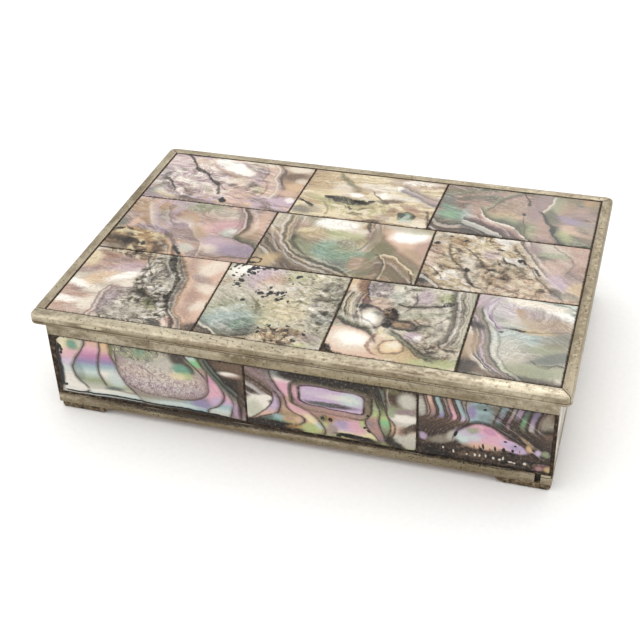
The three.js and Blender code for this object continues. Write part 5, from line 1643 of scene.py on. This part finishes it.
def nickel_silver(name, along, stains_and_light=()):
    """Nickel silver strip, rolled, soldered and long handled.

    It gives the eye a warm grey, rubbed bright by hands and dulled in patches, with painted shade that makes
    the upright sides dull and brown, rubbing with a painted highlight on the rounded edges, and small black
    pits and fine scratches along the strip.
    """
    finish = bpy.context.scene.shell_box_finish
    material = blank("nickel_silver_rolled_and_worn_" + name)
    tree = material.node_tree
    place = in_mm(tree)
    cloud = add(
        tree, "TexNoise",
        {
            0: in_mm(tree, [0.35 if a else 1.0 for a in along]), "Scale": 0.17, "Detail": 4,
            "Roughness": 0.65, "Distortion": 0.5,
        },
    )
    # Handling marks of 1 to 2 mm.
    mottle = add(tree, "TexNoise", {0: place, "Scale": 0.62, "Detail": 5, "Roughness": 0.72})
    scratch = add(
        tree, "TexNoise",
        {
            0: in_mm(tree, [0.04 if a else 2.2 for a in along]), "Scale": 1.0, "Detail": 3,
            "Roughness": 0.6,
        },
    )
    # Pits of about 0.5 mm, sparse on the whole and thick in some patches.
    pit = add(tree, "TexNoise", {0: place, "Scale": 1.25, "Detail": 3, "Roughness": 0.6})
    normal = add(tree, "TexCoord").outputs["Normal"]
    facing = add(tree, "SeparateXYZ", {0: add(tree, "VectorMath", {0: normal}, operation="ABSOLUTE")})
    sides = add(tree, "Math", {0: facing.outputs["X"], 1: facing.outputs["Y"]}, operation="MAXIMUM")
    flat = add(tree, "Math", {0: facing.outputs["Z"], 1: sides}, operation="MAXIMUM")
    coats = [
        # Painted shade: the upright sides of the strips are darkened towards the tarnish colour.
        ((sides, 0.20, 0.90, finish.side_shade), finish.tarnish_and_side_shade[:]),
        ((mottle, 0.50, 0.66, 0.65), finish.tarnish_and_side_shade[:]), ((mottle, 0.46, 0.34, 0.50), finish.rubbed[:]),
        ((scratch, 0.56, 0.66, 0.35), finish.tarnish_and_side_shade[:]),
    ]
    level = 0.0
    for tone_patch in stains_and_light:
        local = add(
            tree, "Mapping", {0: place, "Location": tone_patch.middle, "Scale": tone_patch.reach},
            vector_type="TEXTURE",
        )
        reached = add(tree, "VectorMath", {0: local}, operation="LENGTH")
        frayed = add(tree, "Math", {0: mottle, 1: 1.6, 2: reached}, operation="MULTIPLY_ADD")
        coats.append(((frayed, 2.0, 1.3, tone_patch.alpha), linear(tone_patch.colour)))
        thick = add(
            tree, "MapRange", {"Value": frayed, "From Min": 2.0, "From Max": 1.3, "To Max": tone_patch.pits},
        )
        level = add(tree, "Math", {0: thick, 1: level}, operation="ADD")
    deep = add(tree, "Math", {0: pit, 1: level}, operation="SUBTRACT")
    coats.append(((deep, 0.34, 0.28, 1.0), finish.grime[:]))
    # Rubbing and a painted highlight: the rounded edges, whatever way they face, are brightened.
    coats.append(((flat, 0.96, 0.85, finish.edge_rub_and_highlight), finish.rubbed[:]))
    colour = add(
        tree, "ValToRGB", {0: cloud},
        stops=[(0.36, finish.tarnish_and_side_shade[:]), (0.48, finish.metal[:]), (0.60, finish.rubbed[:])],
    )
    for (pattern, bare, full, strength), coat in coats:
        shown = add(
            tree, "MapRange", {"Value": pattern, "From Min": bare, "From Max": full, "To Max": strength},
            interpolation_type="SMOOTHSTEP",
        )
        colour = add(tree, "Mix", {0: shown, 6: colour, 7: coat}, data_type="RGBA")
    pitted = add(tree, "MapRange", {"Value": deep, "From Min": 0.34, "From Max": 0.28})
    uneven = add(tree, "Math", {0: mottle, 1: -0.5}, operation="MULTIPLY")
    worn = add(tree, "Math", {0: pitted, 1: -1.2, 2: uneven}, operation="MULTIPLY_ADD")
    bump = add(tree, "Bump", {"Strength": 1.0, "Distance": 0.1 * MM, "Height": worn})
    rough = add(
        tree, "MapRange",
        {"Value": mottle, "From Min": 0.35, "From Max": 0.65, "To Min": 0.3, "To Max": 0.6},
    )
    metallic = add(tree, "MapRange", {"Value": pitted, "To Min": 0.8, "To Max": 0.1})
    shade(tree, {"Base Color": colour, "Metallic": metallic, "Roughness": rough, "Normal": bump})
    return material


def dark_bronze():
    """Cast bronze feet, left dark: brown-black, mottled with dull yellow."""
    material = blank("bronze_cast_and_darkened")
    tree = material.node_tree
    place = in_mm(tree)
    crust = add(tree, "TexNoise", {0: place, "Scale": 0.7, "Detail": 5, "Roughness": 0.7})
    colour = add(
        tree, "ValToRGB", {0: crust},
        stops=[(0.36, "#2c2620"), (0.48, "#5b4d3a"), (0.58, "#85735a"), (0.70, "#b5a17c")],
    )
    bump = add(tree, "Bump", {"Strength": 1.0, "Distance": 0.25 * MM, "Height": crust})
    shade(
        tree,
        {
            "Base Color": colour, "Metallic": 0.7,
            "Roughness": add(tree, "MapRange", {"Value": crust, "To Min": 0.75, "To Max": 0.3}),
            "Normal": bump,
        },
    )
    return material


def black_resin():
    """Black cutler's resin, poured between the plates and rubbed down: satin, dusty brown."""
    material = blank("black_resin_poured_and_rubbed")
    tree = material.node_tree
    dust = add(tree, "TexNoise", {0: in_mm(tree), "Scale": 0.8, "Detail": 5, "Roughness": 0.68})
    colour = add(
        tree, "ValToRGB", {0: dust},
        stops=[(0.38, "#1a130e"), (0.52, "#372b20"), (0.62, "#5a4a39"), (0.74, "#86735a")],
    )
    bump = add(tree, "Bump", {"Strength": 1.0, "Distance": 0.15 * MM, "Height": dust})
    shade(
        tree,
        {
            "Base Color": colour,
            "Roughness": add(tree, "MapRange", {"Value": dust, "To Min": 0.55, "To Max": 0.85}),
            "Normal": bump, "Specular IOR Level": 0.2,
        },
    )
    return material


def cedar():
    """Cedar board, planed and left bare: straight red-brown grain about 2 mm wide.

    Where a strip has broken off, the board's outer face is darkened almost to black.
    """
    material = blank("cedar_planed")
    tree = material.node_tree
    grain = add(
        tree, "TexNoise",
        {
            0: in_mm(tree, (0.02, 0.5, 0.5)), "Scale": 1.0, "Detail": 6, "Roughness": 0.62,
            "Distortion": 0.3,
        },
    )
    colour = add(
        tree, "ValToRGB", {0: grain},
        stops=[(0.32, "#5e3523"), (0.45, "#8a5436"), (0.55, "#a76c48"), (0.70, "#bd845c")],
    )
    reach = add(tree, "SeparateXYZ", {0: add(tree, "VectorMath", {0: in_mm(tree)}, operation="ABSOLUTE")})
    outside = add(
        tree, "Math",
        {
            0: add(tree, "Math", {0: reach.outputs["X"], 1: 79.9}, operation="GREATER_THAN"),
            1: add(tree, "Math", {0: reach.outputs["Y"], 1: 54.4}, operation="GREATER_THAN"),
        },
        operation="MAXIMUM",
    )
    colour = add(tree, "Mix", {0: outside, 6: colour, 7: linear("#241a13")}, data_type="RGBA")
    pore = add(tree, "TexNoise", {0: in_mm(tree, (0.08, 3.0, 3.0)), "Scale": 1.0, "Detail": 3})
    bump = add(tree, "Bump", {"Strength": 1.0, "Distance": 0.08 * MM, "Height": pore})
    shade(
        tree,
        {
            "Base Color": colour,
            "Roughness": add(tree, "MapRange", {"Value": grain, "To Min": 0.5, "To Max": 0.75}),
            "Normal": bump,
        },
    )
    return material


def studio_paper():
    """Matt white paper under the box: plain, with the faintest tooth."""
    material = blank("paper_matt_white")
    tree = material.node_tree
    tooth = add(tree, "TexNoise", {0: in_mm(tree), "Scale": 0.6, "Detail": 2})
    colour = add(tree, "ValToRGB", {0: tooth}, stops=[(0.0, "#f3f2f0"), (1.0, "#fbfaf8")])
    shade(tree, {"Base Color": colour, "Roughness": 0.9})
    return material


# ------------------------------------------------------------------ sizes and colours
def length(name, description, default, low=0.0, high=0.01):
    """A length in metres for the sidebar."""
    return bpy.props.FloatProperty(
        name=name, description=description, default=default, min=low, max=high, precision=5,
        subtype="DISTANCE", unit="LENGTH",
    )


def share(name, description, default):
    """A plain factor for the sidebar."""
    return bpy.props.FloatProperty(
        name=name, description=description, default=default, min=0.1, max=2.0, subtype="FACTOR",
    )


def hue(name, description, colour):
    """A colour for the sidebar."""
    return bpy.props.FloatVectorProperty(
        name=name, description=description, default=linear(colour), min=0.0, max=1.0, size=4,
        subtype="COLOR",
    )


class ShellBoxSizes(bpy.types.PropertyGroup):
    """Sizes of the finish."""

    shell_pitch: length("Shell pitch", "Spacing of the shell's mesh", 0.7 * MM, 0.2 * MM)
    swell: length("Swell", "Height of the slow unevenness of the shell", 0.07 * MM)
    wander: length("Wander", "How far the pattern's lines stray", 0.9 * MM)
    worn_edge: length("Worn edge", "Width of the rounding on metal edges", 0.16 * MM)
    metal_pitch: length("Metal pitch", "Spacing of the cuts along a strip", 1.8 * MM, 0.5 * MM)
    uneven: length("Uneven", "Depth of the slow unevenness of metal", 0.06 * MM)
    nick: length("Nick", "Depth of the nicks in metal", 0.5 * MM)


class ShellBoxFinish(bpy.types.PropertyGroup):
    """Colours of the metal."""

    metal: hue("Metal", "Nickel silver where it is clean", "#a79b85")
    rubbed: hue("Rubbed", "Nickel silver where hands keep it bright", "#ccc1a9")
    tarnish_and_side_shade: hue("Tarnished", "Nickel silver gone dull", "#776a54")
    grime: hue("Grime", "Dirt in pits and seams", "#2f261b")
    yellowed: hue("Yellowed", "The cast that age gives the lid's shell", "#fff3dd")
    # Painted shade: how much darker the strips' upright sides are.
    side_shade: share("Side dulling", "How dull the strips' sides are", 0.35)
    # Rubbing and a painted highlight: how much brighter the strips' rounded edges are.
    edge_rub_and_highlight: share("Edge rubbing", "How bright the strips' edges are", 0.3)
    lid_depth: share("Lid depth", "How pale the shell of the lid is", 0.86)
    lid_richness: share("Lid richness", "How strong the colours of the lid are", 0.8)
    lid_yellowing: share("Lid yellowing", "How far age has yellowed the lid", 0.5)
    wall_depth: share("Wall depth", "How pale the shell of the walls is", 0.93)
    wall_richness: share("Wall richness", "How strong the colours of the walls are", 0.95)
    shell_contrast: share("Shell contrast", "How far apart its dark and pale are", 1.25)


class ShellBoxTints(bpy.types.PropertyGroup):
    """Colours of the shell."""

    __annotations__ = {
        name: hue(name.capitalize(), f"The shell's {name}", colour) for name, colour in TINTS.items()
    }


# ------------------------------------------------------------------ operators
class SHELLBOX_OT_lid_shell(bpy.types.Operator):
    """Lays the ten plates of shell on the lid."""

    bl_idname = "shell_box.lid_shell"
    bl_label = "Lid Shell"

    def execute(self, context):
        names = sorted(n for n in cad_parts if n.startswith("lid_shell_"))
        for seed, name in enumerate(names):
            shell_piece(name, seed + 1)
        return {"FINISHED"}


class SHELLBOX_OT_wall_shell(bpy.types.Operator):
    """Lays the plates of shell on the four walls."""

    bl_idname = "shell_box.wall_shell"
    bl_label = "Wall Shell"

    def execute(self, context):
        names = sorted(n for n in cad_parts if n.startswith("shell_"))
        for seed, name in enumerate(names):
            shell_piece(name, seed + 21)
        return {"FINISHED"}


X_RUN = (1, 0, 0)
Y_RUN = (0, 1, 0)


def strips(kind, stains_and_light):
    """Makes the four strips of one kind, each cut and scratched along its own length."""
    for seed, side in enumerate(TURNS):
        run = X_RUN if side in ("front", "back") else Y_RUN
        material = nickel_silver(f"{kind}_{side}", run, stains_and_light.get(side, ()))
        metal_piece(f"{kind}_{side}", (run,), material, seed + len(kind))


class SHELLBOX_OT_lid_rims(bpy.types.Operator):
    """Folds the nickel silver rims round the lid."""

    bl_idname = "shell_box.lid_rims"
    bl_label = "Lid Rims"

    def execute(self, context):
        strips("lid_rim", RIM_STAINS_AND_LIGHT)
        return {"FINISHED"}


class SHELLBOX_OT_bands(bpy.types.Operator):
    """Runs the nickel silver bands round the case, with the broken end at the front."""

    bl_idname = "shell_box.bands"
    bl_label = "Bands"

    def execute(self, context):
        strips("top_band", TOP_STAINS_AND_SHADE)
        strips("bottom_band", BOTTOM_STAINS)
        material = nickel_silver("broken_end", X_RUN, BOTTOM_STAINS["right"])
        for seed, name in enumerate(("bottom_band_stub", "bottom_band_sliver")):
            metal_piece(name, (X_RUN,), material, seed + 40)
        return {"FINISHED"}


class SHELLBOX_OT_feet(bpy.types.Operator):
    """Sets the four dark bronze feet."""

    bl_idname = "shell_box.feet"
    bl_label = "Feet"

    def execute(self, context):
        material = dark_bronze()
        names = sorted(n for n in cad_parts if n.startswith("foot_"))
        for seed, name in enumerate(names):
            metal_piece(name, (X_RUN, Y_RUN), material, seed + 60)
        return {"FINISHED"}


class SHELLBOX_OT_grounds(bpy.types.Operator):
    """Dresses the resin and the cedar that the plates and strips are laid on."""

    bl_idname = "shell_box.grounds"
    bl_label = "Resin and Cedar"

    def execute(self, context):
        wood, resin = cedar(), black_resin()
        for name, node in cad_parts.items():
            if name.startswith("resin_") or name == "lid_resin":
                node.data.materials[0] = resin
            elif name in ("case_carcass", "lid_board"):
                node.data.materials[0] = wood
        return {"FINISHED"}


# Where the camera stands, in metres, and how it is turned, in degrees.
CAMERA_PLACE = (0.09887, -0.33102, 0.25261)
CAMERA_YAW = -17.808
CAMERA_DOWN = 34.899
CAMERA_ROLL = -2.052
CAMERA_LENS = 67.97


class SHELLBOX_OT_stage(bpy.types.Operator):
    """Sets the white floor, the soft light and the camera."""

    bl_idname = "shell_box.stage"
    bl_label = "Stage"

    def execute(self, context):
        scene = context.scene
        bm = bmesh.new()
        bmesh.ops.create_grid(bm, x_segments=2, y_segments=2, size=3.0)
        mesh = bpy.data.meshes.new("floor")
        bm.to_mesh(mesh)
        bm.free()
        mesh.materials.append(studio_paper())
        floor = bpy.data.objects.new("floor", mesh)
        scene.collection.objects.link(floor)

        world = bpy.data.worlds.new("studio")
        world.use_nodes = True
        sky = next(n for n in world.node_tree.nodes if n.type == "BACKGROUND")
        sky.inputs["Color"].default_value = linear("#ffffff")
        sky.inputs["Strength"].default_value = 0.95
        scene.world = world

        def panel(name, place, width, watts):
            data = bpy.data.lights.new(name, "AREA")
            data.size = width
            data.energy = watts
            light = bpy.data.objects.new(name, data)
            light.location = place
            light.rotation_euler = (-Vector(place)).to_track_quat("-Z", "Y").to_euler()
            scene.collection.objects.link(light)

        panel("key_light", (-0.3, -0.3, 1.2), 2.4, 12.0)
        panel("back_light", (0.1, 1.0, 0.75), 0.5, 2.0)

        yaw, down, roll = (math.radians(a) for a in (CAMERA_YAW, CAMERA_DOWN, CAMERA_ROLL))
        ahead = Vector((math.sin(yaw) * math.cos(down), math.cos(yaw) * math.cos(down), -math.sin(down)))
        right = Vector((math.cos(yaw), -math.sin(yaw), 0))
        above = right.cross(ahead)
        across = right * math.cos(roll) + above * math.sin(roll)
        up = above * math.cos(roll) - right * math.sin(roll)
        lens = bpy.data.cameras.new("camera")
        lens.lens = CAMERA_LENS
        lens.sensor_width = 36
        lens.clip_start = 0.01
        camera = bpy.data.objects.new("camera", lens)
        turn = Matrix((across, up, -ahead)).transposed()
        camera.matrix_world = Matrix.Translation(CAMERA_PLACE) @ turn.to_4x4()
        scene.collection.objects.link(camera)
        scene.camera = camera
        scene.view_settings.view_transform = "Standard"
        return {"FINISHED"}


RIM_STAINS_AND_LIGHT = {
    "front": (
        StainOrLight((-63, -59.5, 37.6), (9, 2, 1.4), "#6b5e48", 0.8, 0.05),
        StainOrLight((-63, -59.5, 37.9), (5, 2, 0.7), "#cbc0a5", 0.8),
        # Painted shade: the front face of the rim is darkened along most of its length.
        StainOrLight((-30, -59.5, 37), (30, 2, 1.2), "#85775c", 0.6, 0.05),
        StainOrLight((30, -59.5, 37), (26, 2, 1.2), "#8d8066", 0.5, 0.05),
        # Painted shade along the rim's lower edge, where it faces down over the gap.
        StainOrLight((0, -59.5, 35.9), (95, 2, 0.5), "#3a2f22", 0.8, 0.06),
        # Painted highlight along the rim's top front edge.
        StainOrLight((-20, -57, 39), (60, 2.2, 0.8), "#d6cbb0", 0.4, 0.06),
    ),
    "right": (
        StainOrLight((83.2, 0, 39), (3, 75, 1.5), "#827660", 0.85, 0.04),
        # Painted shade along the right rim's lower edge, where it faces down over the gap.
        StainOrLight((85, 0, 35.9), (2, 70, 0.5), "#3a2f22", 0.7, 0.06),
    ),
    "left": (StainOrLight((-83.2, 0, 39), (3, 75, 1.5), "#8d8069", 0.5, 0.04),),
    "back": (StainOrLight((0, 58, 39), (95, 3, 1.5), "#8d8069", 0.5, 0.04),),
}
TOP_STAINS_AND_SHADE = {
    "front": (
        # Painted shadow along the top of the band, under the lid's rim.
        StainOrLight((0, -56, 36), (95, 2, 1.1), "#554833", 0.8, 0.10),
        StainOrLight((20, -56, 31), (50, 2, 1.6), "#8f8263", 0.5, 0.07),
        StainOrLight((-60, -56, 34), (16, 2, 1.6), "#a89b7e", 0.4, 0.06),
        StainOrLight((0, -56, 29.7), (95, 2, 0.5), "#3a2f22", 0.8, 0.08),
    ),
    # Painted shadow along the top of the right band, under the lid's rim.
    "right": (StainOrLight((81.5, 0, 36), (2, 70, 1.1), "#554833", 0.7, 0.08),),
}
BOTTOM_STAINS = {
    "front": (
        StainOrLight((0, -56, 6.2), (95, 2, 0.9), "#3a2f22", 0.85, 0.16),
        StainOrLight((-35, -56, 5.4), (34, 2, 1.2), "#4e4130", 0.85, 0.18),
        StainOrLight((-10, -56, 3.2), (90, 2, 1.2), "#857658", 0.6, 0.07),
        StainOrLight((50, -56, 5.0), (30, 2, 1.4), "#7c6e53", 0.6, 0.07),
    ),
    "right": (StainOrLight((81.5, -40, 4), (3, 20, 2), "#7c6e53", 0.6, 0.08),),
}


class SHELLBOX_PT_panel(bpy.types.Panel):
    """Lists the steps of the finish and its sizes and colours."""

    bl_idname = "SHELLBOX_PT_panel"
    bl_label = "Shell Box"
    bl_space_type = "VIEW_3D"
    bl_region_type = "UI"
    bl_category = "Shell Box"

    def draw(self, context):
        layout = self.layout
        for step in STEPS:
            layout.operator(step.bl_idname)
        for group in ("shell_box_sizes", "shell_box_finish", "shell_box_tints"):
            settings = getattr(context.scene, group)
            column = layout.column()
            for name in settings.__annotations__:
                column.prop(settings, name)


STEPS = (
    SHELLBOX_OT_grounds, SHELLBOX_OT_lid_shell, SHELLBOX_OT_wall_shell, SHELLBOX_OT_lid_rims,
    SHELLBOX_OT_bands, SHELLBOX_OT_feet, SHELLBOX_OT_stage,
)
GROUPS = {
    "shell_box_sizes": ShellBoxSizes, "shell_box_finish": ShellBoxFinish,
    "shell_box_tints": ShellBoxTints,
}


def register():
    """Registers the add-on's classes and settings."""
    for name, group in GROUPS.items():
        bpy.utils.register_class(group)
        setattr(bpy.types.Scene, name, bpy.props.PointerProperty(type=group))
    for cls in (*STEPS, SHELLBOX_PT_panel):
        bpy.utils.register_class(cls)


def unregister():
    """Takes the add-on's classes and settings away."""
    for cls in reversed((*STEPS, SHELLBOX_PT_panel)):
        bpy.utils.unregister_class(cls)
    for name, group in GROUPS.items():
        delattr(bpy.types.Scene, name)
        bpy.utils.unregister_class(group)


def corners(bounds):
    """Two corners as plain lists of numbers."""
    return [list(map(float, corner)) for corner in bounds]


def main():
    """Builds the whole finish."""
    register()
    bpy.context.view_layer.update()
    for step in STEPS:
        group, name = step.bl_idname.split(".")
        getattr(getattr(bpy.ops, group), name)()


if __name__ == "__main__":
    main()
